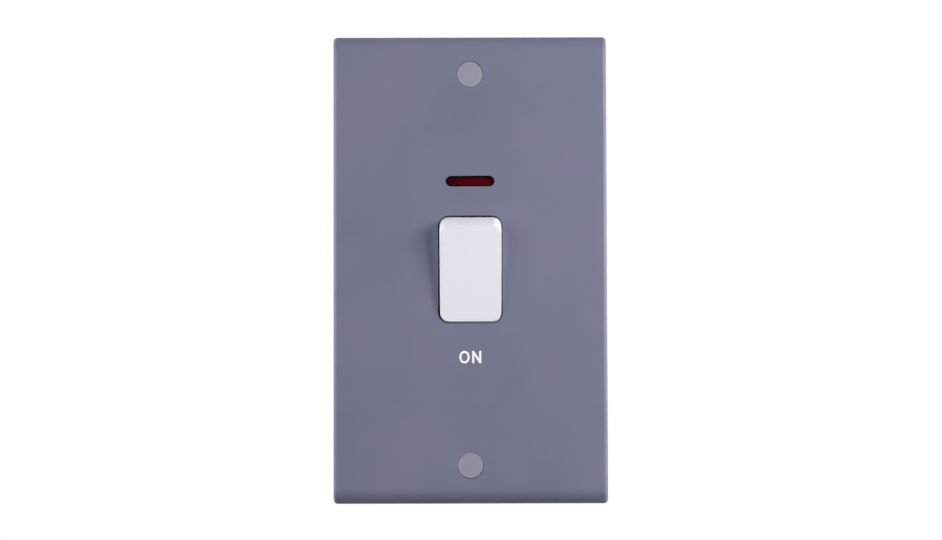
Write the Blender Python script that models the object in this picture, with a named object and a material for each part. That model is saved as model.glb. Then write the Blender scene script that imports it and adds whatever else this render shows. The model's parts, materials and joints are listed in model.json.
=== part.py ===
"""Double pole switch on a two-gang moulded plate, with a red neon and two screw covers.

Metres, +Z up, +X to the right seen from the front. The front faces -Y and the plane y = 0 is the wall.
The origin is the middle of the plate, on the wall. The rocker stands at ON, its lower half pressed in.
"""

import math

import bmesh
import bpy
from mathutils import Matrix, Vector

# Clearances, and how far a cutter runs past a face or a joined rib is sunk into its wall
SEAT_GAP = 0.0003
SLIDE_GAP = 0.0004
COVER_GAP = 0.00024
OVERCUT = 0.001
SINK = 0.0005

# Moulded front plate
PLATE_HEIGHT = 0.146
PLATE_WIDTH = 0.086
PLATE_DEPTH = 0.0085
PLATE_CORNER = 0.0018
PLATE_ROLL = 0.005
PLATE_SIDE_RADIUS = 0.0013
PLATE_DRAFT = 0.0009
FACE_THICKNESS = 0.0028
WALL_THICKNESS = 0.0025
HOLLOW_SLOPE = 0.0015
RIB_THICKNESS = 0.0012
RIB_HEIGHT = 0.0022

# Fixing screws, their pillars and their covers
FIXING_CENTRES = 0.1206
PILLAR_DIAMETER = 0.0115
FIXING_SHANK = 0.0034
FIXING_HEAD = 0.0066
FIXING_HEAD_HEIGHT = 0.002
FIXING_LENGTH = 0.025
COVER_DIAMETER = 0.0079
COVER_THICKNESS = 0.001
COVER_SKIRT = 0.0012
COVER_WALL = 0.0006
COVER_BORE_DEPTH = 0.005

# Rocker and its pivot
ROCKER_WIDTH = 0.019
ROCKER_LENGTH = 0.0295
ROCKER_HEIGHT = 0.0095
ROCKER_CORNER = 0.0025
ROCKER_EDGE = 0.0006
ROCKER_WALL = 0.0018
ROCKER_TOP = 0.0022
ROCKER_SKIRT_HEIGHT = 0.0015
ROCKER_TILT = math.radians(8)
PIVOT_DEPTH = 0.0069
PIVOT_PIN = 0.0032
PIVOT_PIN_LENGTH = 0.0022
PIVOT_LUG = 0.0044
STEM_DIAMETER = 0.0056
STEM_BORE = 0.0039
STEM_LENGTH = 0.006
STEM_BORE_DEPTH = 0.009

# Sprung plungers
PLUNGER_DIAMETER = 0.0033
PLUNGER_NOSE = 0.0012
PLUNGER_TAIL = 0.0019
PLUNGER_TAIL_LENGTH = 0.0013
SPRING_DIAMETER = 0.0034
SPRING_WIRE = 0.00045
SPRING_TURNS = 5
SPRING_LENGTH = 0.0042
NOSE_GAP = 0.00038

# Rocking contacts
POLE_SPACING = 0.0094
PIVOT_TO_FULCRUM = 0.0126
BAR_WIDTH = 0.005
BAR_WAIST = 0.0038
BAR_THICKNESS = 0.0012
BAR_TAIL = 0.011
BAR_TIP_OVERHANG = 0.0021
CONTACT_REACH = 0.0115
CONTACT_DIAMETER = 0.004
CONTACT_THICKNESS = 0.0008
STRIP_THICKNESS = 0.001
STRIP_WIDTH = 0.005
STRIP_CROSS_WIDTH = 0.0043
STRIP_BEND = 0.0009
STRIP_ROOM = 0.0025
FULCRUM_PRONG = 0.0007
FULCRUM_PRONG_HEIGHT = 0.0012
FULCRUM_EDGE = 0.0003

# Cable terminals
TERMINAL_LENGTH = 0.013
TERMINAL_WIDTH = 0.0096
TERMINAL_FRONT_WALL = 0.0013
TUNNEL_WIDTH = 0.0068
TUNNEL_HEIGHT = 0.007
TERMINAL_SCREW_PITCH = 0.0064
TERMINAL_SCREW_SHANK = 0.004
TERMINAL_SCREW_HEAD = 0.006
TERMINAL_SCREW_HEAD_HEIGHT = 0.0014

# Driver slots: the share of a head that is cut, and the turn from one screw's slot to the next
SLOT_DEPTH_SHARE = 0.55
SLOT_TURN = math.radians(47)

# Insulating mouldings behind the plate
HOUSING_SIDE_WALL = 0.0019
HOUSING_END_WALL = 0.0037
HOUSING_CORNER = 0.002
HOUSING_WALL = 0.0015
HOUSING_FLOOR = 0.002
WELL_FLOOR = 0.0014
CRADLE_SKIN = 0.0018
POLE_BARRIER = 0.0012
EAR_REACH = 0.0045
EAR_SPACING = 0.028
EAR_DIAMETER = 0.0072
EAR_THICKNESS = 0.0022
CLAMP_SCREW_SHANK = 0.0026
CLAMP_SCREW_HEAD = 0.0052
CLAMP_SCREW_HEAD_HEIGHT = 0.0016
BOSS_DIAMETER = 0.0064

# Neon window, lens and lamp
NEON_SLOT_WIDTH = 0.0151
NEON_SLOT_HEIGHT = 0.0032
LENS_RECESS = 0.0005
LENS_FLANGE = 0.0013
LENS_FLANGE_THICKNESS = 0.001
LENS_SEAT_LIP = 0.0006
LENS_GUIDE_LENGTH = 0.0022
LAMP_DIAMETER = 0.0044
LAMP_LENGTH = 0.0092
LAMP_DEPTH = 0.0015
LAMP_PINCH = 0.0022
RESISTOR_DIAMETER = 0.0024
RESISTOR_LENGTH = 0.0064
RESISTOR_SWELL = 0.0002
LAMP_TO_RESISTOR = 0.0077
RESISTOR_DEPTH = 0.0046
LEAD_DIAMETER = 0.0006

# Earth terminal on the back of the plate
EARTH_CENTRE = 0.0462
EARTH_WIDTH = 0.0105
EARTH_HEIGHT = 0.0074
EARTH_DEPTH = 0.0092
EARTH_TUNNEL = 0.0048
EARTH_SCREW_SPACING = 0.0052
EARTH_SCREW_SHANK = 0.003
EARTH_SCREW_HEAD = 0.0044

# Facets
ROUND_STEPS = 24
SMALL_STEPS = 14
CORNER_STEPS = 5
ROLL_STEPS = 7
ROCKER_STEPS = 7
SMOOTH_ANGLE = math.radians(35)

# Levels and places that follow from the sizes above
FACE_Y = -PLATE_DEPTH
UNDER_FACE_Y = FACE_Y + FACE_THICKNESS
PIVOT_Y = FACE_Y + PIVOT_DEPTH
RIB_ROOT_Y = UNDER_FACE_Y - SINK
BOSS_END_Y = -SEAT_GAP
EAR_FRONT_Y = BOSS_END_Y + SEAT_GAP
END_RADIUS = math.hypot(ROCKER_LENGTH / 2, ROCKER_HEIGHT)
CRADLE_FRONT_Y = UNDER_FACE_Y + SEAT_GAP
WELL_FLOOR_Y = PIVOT_Y + PIVOT_LUG / 2 + SLIDE_GAP
CRADLE_REAR_Y = WELL_FLOOR_Y + WELL_FLOOR
HOUSING_FRONT_Y = CRADLE_REAR_Y + SEAT_GAP
FULCRUM_Y = PIVOT_Y + PIVOT_TO_FULCRUM
BAR_REAR = -SEAT_GAP / 2
BAR_FRONT = BAR_REAR - BAR_THICKNESS
MOVING_CONTACT_FACE = BAR_REAR + SEAT_GAP + CONTACT_THICKNESS
CLOSED_CONTACT_Y = (
    FULCRUM_Y + MOVING_CONTACT_FACE * math.cos(ROCKER_TILT) + CONTACT_REACH * math.sin(ROCKER_TILT)
)
FIXED_CONTACT_Y = CLOSED_CONTACT_Y + SEAT_GAP
FIXED_CONTACT_Z = CONTACT_REACH * math.cos(ROCKER_TILT)
STRIP_FRONT_Y = FIXED_CONTACT_Y + CONTACT_THICKNESS + SEAT_GAP
FLOOR_Y = STRIP_FRONT_Y + STRIP_THICKNESS + SEAT_GAP
HOUSING_REAR_Y = FLOOR_Y + HOUSING_FLOOR
TERMINAL_FRONT_Y = HOUSING_FRONT_Y + HOUSING_WALL
TERMINAL_REAR_Y = FLOOR_Y - SEAT_GAP
TUNNEL_FRONT_Y = TERMINAL_FRONT_Y + TERMINAL_FRONT_WALL
TUNNEL_REAR_Y = TUNNEL_FRONT_Y + TUNNEL_HEIGHT
TONGUE_FRONT_Y = TUNNEL_FRONT_Y + SEAT_GAP
TONGUE_Y = TONGUE_FRONT_Y + STRIP_THICKNESS / 2
PAD_Y = STRIP_FRONT_Y + STRIP_THICKNESS / 2
POLE_X = POLE_SPACING / 2
TERMINAL_X = POLE_X + BAR_WIDTH / 2 + STRIP_ROOM + TERMINAL_WIDTH / 2
TERMINAL_START = CONTACT_REACH + BAR_TIP_OVERHANG + SLIDE_GAP
TERMINAL_Z = TERMINAL_START + TERMINAL_LENGTH / 2
STRIP_END = TERMINAL_START - 2 * SEAT_GAP
RISER_X = TERMINAL_X - TERMINAL_WIDTH / 2 - 3 * SEAT_GAP - STRIP_THICKNESS / 2
HOUSING_HALF_WIDTH = TERMINAL_X + TERMINAL_WIDTH / 2 + SEAT_GAP + HOUSING_SIDE_WALL
HOUSING_HALF_LENGTH = TERMINAL_START + TERMINAL_LENGTH + SEAT_GAP + HOUSING_END_WALL
WELL_HALF_WIDTH = ROCKER_WIDTH / 2 + SLIDE_GAP
WELL_HALF_LENGTH = END_RADIUS + SLIDE_GAP
BEARING_END_X = ROCKER_WIDTH / 2 + PIVOT_PIN_LENGTH + SLIDE_GAP
NOSE_CENTRE = (
    PIVOT_TO_FULCRUM * math.cos(ROCKER_TILT) + BAR_FRONT - PLUNGER_NOSE - NOSE_GAP
) / math.cos(2 * ROCKER_TILT)
LENS_FLANGE_HALF_X = NEON_SLOT_WIDTH / 2 + LENS_FLANGE
LENS_FLANGE_HALF_Z = NEON_SLOT_HEIGHT / 2 + LENS_FLANGE
NEON_CENTRE = HOUSING_HALF_LENGTH - LENS_SEAT_LIP - SEAT_GAP - LENS_FLANGE_HALF_Z
RESISTOR_CENTRE = NEON_CENTRE - LAMP_TO_RESISTOR
EAR_X = HOUSING_HALF_WIDTH + EAR_REACH
EAR_PLACES = [(side * EAR_X, end * EAR_SPACING / 2) for end in (1, -1) for side in (-1, 1)]
SIDES = (("left", -1), ("right", 1))


def clear_scene():
    for item in list(bpy.data.objects):
        bpy.data.objects.remove(item)


def linear(value):
    """Scene-linear value of one sRGB channel given from 0 to 255."""
    share = value / 255
    return share / 12.92 if share <= 0.04045 else ((share + 0.055) / 1.055) ** 2.4


def make_material(name, colour, roughness, metallic=0.0, transmission=0.0):
    """Principled material with an sRGB colour given from 0 to 255."""
    made = bpy.data.materials.new(name)
    made.use_nodes = True
    shader = made.node_tree.nodes["Principled BSDF"]
    shader.inputs["Base Color"].default_value = (*[linear(part) for part in colour], 1)
    shader.inputs["Roughness"].default_value = roughness
    shader.inputs["Metallic"].default_value = metallic
    shader.inputs["Transmission Weight"].default_value = transmission
    return made


def make_object(name, shape, location=(0, 0, 0), rotation=(0, 0, 0), parent=None):
    """Object from a bmesh, which is freed, placed in the world or under a parent."""
    mesh = bpy.data.meshes.new(name)
    bmesh.ops.recalc_face_normals(shape, faces=shape.faces)
    shape.to_mesh(mesh)
    shape.free()
    made = bpy.data.objects.new(name, mesh)
    made.location = location
    made.rotation_euler = rotation
    made.parent = parent
    bpy.context.scene.collection.objects.link(made)
    return made


def make_pivot(name, location, angle):
    """Empty on a joint's axis, turned about +X."""
    made = bpy.data.objects.new(name, None)
    made.location = location
    made.rotation_euler = (angle, 0, 0)
    made.empty_display_size = 0.004
    bpy.context.scene.collection.objects.link(made)
    return made


def finish(item, material):
    """Give a piece its material and smooth its round faces."""
    item.data.materials.clear()
    item.data.materials.append(material)
    item.data.shade_smooth()
    item.data.set_sharp_from_angle(angle=SMOOTH_ANGLE)
    return item


def combine(target, shape, operation):
    """Join or cut a shape given in the target's own frame."""
    bpy.context.view_layer.update()
    tool = make_object("tool", shape)
    tool.matrix_world = target.matrix_world
    step = target.modifiers.new(operation.title(), "BOOLEAN")
    step.operation = operation
    step.solver = "EXACT"
    step.object = tool
    bpy.context.view_layer.update()
    graph = bpy.context.evaluated_depsgraph_get()
    result = bpy.data.meshes.new_from_object(target.evaluated_get(graph))
    target.modifiers.clear()
    worn = target.data
    target.data = result
    result.name = target.name
    bpy.data.meshes.remove(worn)
    bpy.data.objects.remove(tool)


def join(target, *shapes):
    for shape in shapes:
        combine(target, shape, "UNION")


def cut(target, *shapes):
    for shape in shapes:
        combine(target, shape, "DIFFERENCE")


def rounded_rectangle(half_x, half_z, radius, steps=CORNER_STEPS):
    """Rectangle with arc corners about the origin, as (x, z), anticlockwise."""
    points = []
    for turn, (side, end) in enumerate(((1, 1), (-1, 1), (-1, -1), (1, -1))):
        for step in range(steps + 1):
            angle = (turn + step / steps) * math.pi / 2
            x = side * (half_x - radius) + radius * math.cos(angle)
            z = end * (half_z - radius) + radius * math.sin(angle)
            points.append((x, z))
    return points


def slot_outline(half_x, half_z, steps=CORNER_STEPS):
    """Slot with full round ends, as (x, z), anticlockwise."""
    points = []
    for side, first in ((1, -math.pi / 2), (-1, math.pi / 2)):
        for step in range(2 * steps + 1):
            angle = first + math.pi * step / (2 * steps)
            points.append((side * (half_x - half_z) + half_z * math.cos(angle), half_z * math.sin(angle)))
    return points


def at_depth(outline, y, x_shift=0, z_shift=0):
    """Lift an (x, z) outline into space at a depth."""
    return [Vector((x + x_shift, y, z + z_shift)) for x, z in outline]


def loft(loops):
    """Closed solid skinned through loops of equal count, with a flat cap at each end."""
    shape = bmesh.new()
    rings = [[shape.verts.new(point) for point in loop] for loop in loops]
    for lower, upper in zip(rings, rings[1:]):
        for here in range(len(lower)):
            after = (here + 1) % len(lower)
            shape.faces.new((lower[here], lower[after], upper[after], upper[here]))
    shape.faces.new(rings[0][::-1])
    shape.faces.new(rings[-1])
    bmesh.ops.recalc_face_normals(shape, faces=shape.faces)
    return shape


def prism(outline, y_from, y_to, x_shift=0, z_shift=0):
    """Straight solid along Y from an (x, z) outline."""
    return loft([at_depth(outline, y, x_shift, z_shift) for y in (y_from, y_to)])


def box(low, high):
    """Box between two corners."""
    outline = [(low[0], low[2]), (high[0], low[2]), (high[0], high[2]), (low[0], high[2])]
    return prism(outline, low[1], high[1])


def soft_box(low, high, bevel):
    """Box with a small bevel on every edge."""
    shape = box(low, high)
    bmesh.ops.bevel(
        shape, geom=shape.edges[:], offset=bevel, segments=1, affect="EDGES", profile=0.5
    )
    return shape


def turned(profile, steps=ROUND_STEPS, x_shift=0, z_shift=0):
    """Solid turned about a line along Y, from (radius, y) points in order."""
    loops = []
    for radius, y in profile:
        ring = []
        for step in range(steps):
            angle = 2 * math.pi * step / steps
            ring.append(Vector((x_shift + radius * math.cos(angle), y, z_shift + radius * math.sin(angle))))
        loops.append(ring)
    return loft(loops)


def rod(radius, y_from, y_to, x_shift=0, z_shift=0, steps=ROUND_STEPS):
    """Plain round rod along Y."""
    return turned([(radius, y_from), (radius, y_to)], steps, x_shift, z_shift)


def along_x(shape, y=0, z=0):
    """Turn a shape made along Y so that it lies along X, then move it."""
    turn = Matrix.Translation((0, y, z)) @ Matrix.Rotation(math.radians(-90), 4, "Z")
    bmesh.ops.transform(shape, matrix=turn, verts=shape.verts)
    return shape


def mirrored(low, high, side, end=1):
    """Box corners reflected to a side and an end."""
    xs = sorted((low[0] * side, high[0] * side))
    zs = sorted((low[2] * end, high[2] * end))
    return box((xs[0], low[1], zs[0]), (xs[1], high[1], zs[1]))


def pivot_outline(half_width, end_radius, corner, height):
    """Outline at a height above the pivot, on a surface turned about the pivot axis.

    Its ends and corners keep their gap to a like surface while one turns inside the other.
    """
    reach = math.sqrt(end_radius**2 - ROCKER_HEIGHT**2)
    quarter = []
    for step in range(CORNER_STEPS + 1):
        angle = math.pi / 2 * step / CORNER_STEPS
        x = half_width - corner + corner * math.cos(angle)
        z = reach - corner + corner * math.sin(angle)
        quarter.append((x, math.sqrt(z**2 + ROCKER_HEIGHT**2 - height**2)))
    top = quarter + [(-x, z) for x, z in reversed(quarter)]
    return top + [(x, -z) for x, z in reversed(top)]


def plate_levels():
    """Depths of the plate's section loops, from the wall to the face, closest where it rolls over."""
    levels = {0.0}
    for radius, steps in ((PLATE_ROLL, ROLL_STEPS), (PLATE_SIDE_RADIUS, CORNER_STEPS - 1)):
        for step in range(steps + 1):
            angle = math.pi / 2 * step / steps
            levels.add(round(FACE_Y + radius * (1 - math.sin(angle)), 7))
    return sorted(levels, reverse=True)


def roll_inset(y, radius):
    """How far a rolled edge has come in at a depth."""
    into_roll = max(0.0, FACE_Y + radius - y)
    return radius - math.sqrt(max(0.0, radius**2 - into_roll**2))


def plate_body():
    """Outer form: top and bottom edges rolled over a large radius, side edges over a small one."""
    loops = []
    for y in plate_levels():
        draft = PLATE_DRAFT * y / FACE_Y
        half_x = PLATE_WIDTH / 2 - draft - roll_inset(y, PLATE_SIDE_RADIUS)
        half_z = PLATE_HEIGHT / 2 - draft - roll_inset(y, PLATE_ROLL)
        loops.append(at_depth(rounded_rectangle(half_x, half_z, PLATE_CORNER), y))
    return loft(loops)


def plate_hollow():
    """Open back of the plate, with a sloped corner under the rolled edge."""
    half_x = PLATE_WIDTH / 2 - WALL_THICKNESS
    half_z = PLATE_HEIGHT / 2 - WALL_THICKNESS
    loops = []
    for y, inset in ((OVERCUT, 0), (UNDER_FACE_Y + HOLLOW_SLOPE, 0), (UNDER_FACE_Y, HOLLOW_SLOPE)):
        outline = rounded_rectangle(half_x - inset, half_z - inset, PLATE_CORNER / 2, 2)
        loops.append(at_depth(outline, y))
    return loft(loops)


def plate_ribs():
    """Ribs from each fixing pillar to the walls, and the low rim that locates the mechanism."""
    top_y = UNDER_FACE_Y + RIB_HEIGHT
    half = RIB_THICKNESS / 2
    to_side = PLATE_WIDTH / 2 - WALL_THICKNESS / 2
    to_end = PLATE_HEIGHT / 2 - WALL_THICKNESS / 2
    fixing_z = FIXING_CENTRES / 2
    ribs = []
    for end in (1, -1):
        low = (-to_side, RIB_ROOT_Y, end * fixing_z - half)
        ribs.append(box(low, (to_side, top_y, end * fixing_z + half)))
        ribs.append(mirrored((-half, RIB_ROOT_Y, fixing_z), (half, top_y, to_end), 1, end))
    inner_x = HOUSING_HALF_WIDTH + SEAT_GAP
    inner_z = HOUSING_HALF_LENGTH + SEAT_GAP
    for side in (-1, 1):
        low = (inner_x, RIB_ROOT_Y, -inner_z)
        high = (inner_x + RIB_THICKNESS, top_y, inner_z)
        ribs.append(mirrored(low, high, side))
        low = (-inner_x - RIB_THICKNESS, RIB_ROOT_Y, inner_z)
        high = (inner_x + RIB_THICKNESS, top_y, inner_z + RIB_THICKNESS)
        ribs.append(mirrored(low, high, 1, side))
    return ribs


def earth_cheeks():
    """Two moulded cheeks that hold the earth terminal above and below."""
    half_x = EARTH_WIDTH / 2
    half_z = EARTH_HEIGHT / 2 + SEAT_GAP
    cheeks = []
    for end in (1, -1):
        near = -EARTH_CENTRE + end * half_z
        far = near + end * RIB_THICKNESS
        low = (-half_x, RIB_ROOT_Y, min(near, far))
        cheeks.append(box(low, (half_x, 0, max(near, far))))
    return cheeks


def pin_keeper(side):
    """Post behind the face that keeps a rocker pin down in its bearing."""
    half = PIVOT_PIN / 2 - SEAT_GAP / 2
    low = (WELL_HALF_WIDTH + SEAT_GAP, RIB_ROOT_Y, -half)
    high = (BEARING_END_X - SEAT_GAP, PIVOT_Y - PIVOT_PIN / 2 - SEAT_GAP, half)
    return mirrored(low, high, side)


def make_front_plate(material):
    plate = make_object("front_plate", plate_body())
    cut(plate, plate_hollow())
    join(plate, *plate_ribs(), *earth_cheeks())
    clamp_hole = CLAMP_SCREW_SHANK / 2 + SEAT_GAP
    for x, z in EAR_PLACES:
        join(plate, rod(BOSS_DIAMETER / 2, RIB_ROOT_Y, BOSS_END_Y, x, z, SMALL_STEPS))
        cut(plate, rod(clamp_hole, UNDER_FACE_Y + SEAT_GAP, OVERCUT, x, z, SMALL_STEPS))
    for side in (-1, 1):
        join(plate, pin_keeper(side))
    for end in (1, -1):
        z = end * FIXING_CENTRES / 2
        join(plate, rod(PILLAR_DIAMETER / 2, RIB_ROOT_Y, BOSS_END_Y, 0, z))
        cut(plate, rod(COVER_DIAMETER / 2 + COVER_GAP, FACE_Y - OVERCUT, FACE_Y + COVER_BORE_DEPTH, 0, z))
        cut(plate, rod(FIXING_SHANK / 2 + SEAT_GAP, FACE_Y, OVERCUT, 0, z, SMALL_STEPS))
    slot = slot_outline(NEON_SLOT_WIDTH / 2, NEON_SLOT_HEIGHT / 2)
    cut(plate, prism(slot, FACE_Y - OVERCUT, UNDER_FACE_Y + OVERCUT, 0, NEON_CENTRE))
    cut(plate, rocker_aperture())
    return finish(plate, material)


def rocker_aperture():
    """Opening for the rocker, its ends turned about the pivot and its front edge chamfered."""
    loops = []
    chamfer = SEAT_GAP
    for depth, wider in ((-2 * chamfer, 3 * chamfer), (chamfer, 0), (FACE_THICKNESS + chamfer, 0)):
        height = PIVOT_DEPTH - depth
        outline = pivot_outline(
            ROCKER_WIDTH / 2 + SLIDE_GAP + wider,
            END_RADIUS + SLIDE_GAP + wider,
            ROCKER_CORNER + SLIDE_GAP + wider,
            height,
        )
        loops.append(at_depth(outline, PIVOT_Y - height))
    return loft(loops)


def rocker_shell():
    """Outer form of the rocker about its pivot, with a soft edge round the face."""
    loops = []
    for step in range(ROCKER_STEPS + 1):
        height = ROCKER_SKIRT_HEIGHT + (ROCKER_HEIGHT - ROCKER_SKIRT_HEIGHT) * step / ROCKER_STEPS
        outline = pivot_outline(ROCKER_WIDTH / 2, END_RADIUS, ROCKER_CORNER, height)
        loops.append(at_depth(outline, -height))
    shape = loft(loops)
    top = min(vert.co.y for vert in shape.verts)
    rim = [edge for edge in shape.edges if all(vert.co.y == top for vert in edge.verts)]
    bmesh.ops.bevel(shape, geom=rim, offset=ROCKER_EDGE, segments=3, affect="EDGES", profile=0.5)
    return shape


def rocker_hollow():
    """Inside of the rocker, one wall in from the outer form."""
    top = ROCKER_HEIGHT - ROCKER_TOP
    half_width = ROCKER_WIDTH / 2 - ROCKER_WALL
    corner = ROCKER_CORNER - ROCKER_WALL / 2
    loops = []
    for height in (ROCKER_SKIRT_HEIGHT - OVERCUT, ROCKER_SKIRT_HEIGHT + OVERCUT, top / 2, top):
        outline = pivot_outline(half_width, END_RADIUS - ROCKER_WALL, corner, height)
        loops.append(at_depth(outline, -height))
    return loft(loops)


def rocker_side(side):
    """Lug and pin on one side, round about the pivot."""
    inner_x = ROCKER_WIDTH / 2 - ROCKER_WALL
    half = PIVOT_LUG / 2
    outline = [(half, -ROCKER_SKIRT_HEIGHT * 2), (-half, -ROCKER_SKIRT_HEIGHT * 2)]
    for step in range(2 * CORNER_STEPS + 1):
        angle = math.pi * step / (2 * CORNER_STEPS)
        outline.append((-half * math.cos(angle), half * math.sin(angle)))
    ends = (side * inner_x, side * (ROCKER_WIDTH / 2 - SEAT_GAP))
    lug = loft([[Vector((x, y, z)) for z, y in outline] for x in ends])
    pin_end = ROCKER_WIDTH / 2 + PIVOT_PIN_LENGTH
    radius = PIVOT_PIN / 2
    profile = [(radius, inner_x + SEAT_GAP), (radius, pin_end - SEAT_GAP), (radius - SEAT_GAP, pin_end)]
    pin = along_x(turned([(r, side * x) for r, x in profile], SMALL_STEPS))
    return [lug, pin]


def make_rocker(pivot, material):
    rocker = make_object("rocker", rocker_shell(), parent=pivot)
    cut(rocker, rocker_hollow())
    under_top = -(ROCKER_HEIGHT - ROCKER_WALL)
    for _, side in SIDES:
        x = side * POLE_X
        join(rocker, rod(STEM_DIAMETER / 2, under_top, STEM_LENGTH, x, 0))
        rib_x = sorted((x + side * STEM_DIAMETER / 4, side * (ROCKER_WIDTH / 2 - ROCKER_WALL / 2)))
        half = RIB_THICKNESS / 2
        join(rocker, box((rib_x[0], under_top, -half), (rib_x[1], -ROCKER_SKIRT_HEIGHT, half)))
        join(rocker, *rocker_side(side))
    for _, side in SIDES:
        bore_end = STEM_LENGTH - STEM_BORE_DEPTH
        cut(rocker, rod(STEM_BORE / 2, bore_end, STEM_LENGTH + OVERCUT, side * POLE_X, 0, SMALL_STEPS))
    return finish(rocker, material)


def make_plunger(name, side, pivot, material):
    """Sprung plunger in the rocker's stem, with a round nose that bears on the contact bar."""
    radius = PLUNGER_DIAMETER / 2
    start = STEM_LENGTH - STEM_BORE_DEPTH + SPRING_LENGTH + 2 * SEAT_GAP
    tail = start - PLUNGER_TAIL_LENGTH
    shoulder = NOSE_CENTRE - (radius - PLUNGER_NOSE) * 2
    profile = [(PLUNGER_TAIL / 2, tail), (PLUNGER_TAIL / 2, start), (radius, start), (radius, shoulder)]
    nose_steps = 4
    for step in range(nose_steps):
        angle = math.pi / 2 * step / nose_steps
        profile.append((PLUNGER_NOSE * math.cos(angle), NOSE_CENTRE + PLUNGER_NOSE * math.sin(angle)))
    profile.append((PLUNGER_NOSE / 6, NOSE_CENTRE + PLUNGER_NOSE))
    made = make_object(name, turned(profile, SMALL_STEPS), location=(side * POLE_X, 0, 0), parent=pivot)
    return finish(made, material)


def make_coil(name, side, pivot, material):
    """Compression spring in the stem, behind the plunger."""
    points_per_turn = 10
    start = STEM_LENGTH - STEM_BORE_DEPTH + SEAT_GAP + SPRING_WIRE / 2
    rise = SPRING_LENGTH - SPRING_WIRE
    radius = (SPRING_DIAMETER - SPRING_WIRE) / 2
    curve = bpy.data.curves.new(name, "CURVE")
    curve.dimensions = "3D"
    curve.bevel_depth = SPRING_WIRE / 2
    curve.bevel_resolution = 1
    curve.use_fill_caps = True
    count = SPRING_TURNS * points_per_turn
    line = curve.splines.new("POLY")
    line.points.add(count)
    for index, point in enumerate(line.points):
        angle = 2 * math.pi * index / points_per_turn
        along = start + rise * index / count
        point.co = (radius * math.cos(angle), along, radius * math.sin(angle), 1)
    made = bpy.data.objects.new(name, curve)
    made.location = (side * POLE_X, 0, 0)
    made.parent = pivot
    curve.materials.append(material)
    bpy.context.scene.collection.objects.link(made)
    return made


def bar_outline():
    """Plan of a contact bar: round ends and a waist where it rocks on its fulcrum."""
    half = BAR_WIDTH / 2
    waist = BAR_WAIST / 2
    waist_half_length = BAR_WAIST / 2
    tip = CONTACT_REACH + BAR_TIP_OVERHANG
    points = []
    for middle, first in ((tip - half, 0), (-BAR_TAIL + half, math.pi)):
        for step in range(2 * CORNER_STEPS + 1):
            angle = first + math.pi * step / (2 * CORNER_STEPS)
            points.append((half * math.cos(angle), middle + half * math.sin(angle)))
        side = 1 if first else -1
        for z in (waist_half_length, waist_half_length / 2, -waist_half_length / 2, -waist_half_length):
            width = waist if abs(z) < waist_half_length else half
            points.append((side * width, -side * z))
    return points


def make_contact_bar(name, pivot, material):
    bar = make_object(name, prism(bar_outline(), BAR_FRONT, BAR_REAR), parent=pivot)
    return finish(bar, material)


def contact_profile(face, back):
    """Contact button from its domed face to its back."""
    radius = CONTACT_DIAMETER / 2
    dome = (back - face) / 2
    steps = 3
    profile = []
    for step in range(steps):
        angle = math.pi / 2 * (step + 1) / steps
        profile.append((radius * math.sin(angle), face + dome * step / (steps - 1)))
    return profile + [(radius, back)]


def make_moving_contact(name, pivot, material):
    profile = contact_profile(MOVING_CONTACT_FACE, BAR_REAR + SEAT_GAP)
    made = make_object(name, turned(profile, SMALL_STEPS), location=(0, 0, CONTACT_REACH), parent=pivot)
    return finish(made, material)


def make_fixed_contact(name, side, material):
    profile = contact_profile(0, CONTACT_THICKNESS)
    place = (side * POLE_X, FIXED_CONTACT_Y, FIXED_CONTACT_Z)
    return finish(make_object(name, turned(profile, SMALL_STEPS), location=place), material)


def bent_sheet(path, z_from, z_to):
    """Strip metal that follows an (x, y) path with round bends, from one z to another."""
    steps = 4
    half = STRIP_THICKNESS / 2
    path = [Vector(point) for point in path]
    sides = []
    for offset in (half, -half):
        first = (path[1] - path[0]).normalized()
        line = [path[0] + Vector((-first.y, first.x)) * offset]
        for before, corner, after in zip(path, path[1:], path[2:]):
            arrive = (corner - before).normalized()
            leave = (after - corner).normalized()
            turn = math.copysign(1, arrive.cross(leave))
            out = Vector((arrive.y, -arrive.x)) * turn
            centre = corner - (arrive + out) * STRIP_BEND
            for step in range(steps + 1):
                angle = math.pi / 2 * step / steps
                reach = STRIP_BEND - turn * offset
                line.append(centre + reach * (out * math.cos(angle) + arrive * math.sin(angle)))
        last = (path[-1] - path[-2]).normalized()
        line.append(path[-1] + Vector((-last.y, last.x)) * offset)
        sides.append(line)
    outline = sides[0] + sides[1][::-1]
    return loft([[Vector((point.x, point.y, z)) for point in outline] for z in (z_from, z_to)])


def strip_across(start_x):
    """The folded part of a right-hand strip, below its terminal: pad, riser and tongue level."""
    path = [(start_x, PAD_Y), (RISER_X, PAD_Y), (RISER_X, TONGUE_Y), (TERMINAL_X, TONGUE_Y)]
    return bent_sheet(path, STRIP_END - STRIP_CROSS_WIDTH, STRIP_END)


def strip_tongue():
    """Flat tongue that runs into the terminal's tunnel."""
    half = TUNNEL_WIDTH / 2 - SEAT_GAP
    ends = [(TERMINAL_X - half, TONGUE_Y), (TERMINAL_X + half, TONGUE_Y)]
    z_to = TERMINAL_START + TERMINAL_LENGTH - 2 * SEAT_GAP
    return bent_sheet(ends, STRIP_END - STRIP_CROSS_WIDTH / 2, z_to)


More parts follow.
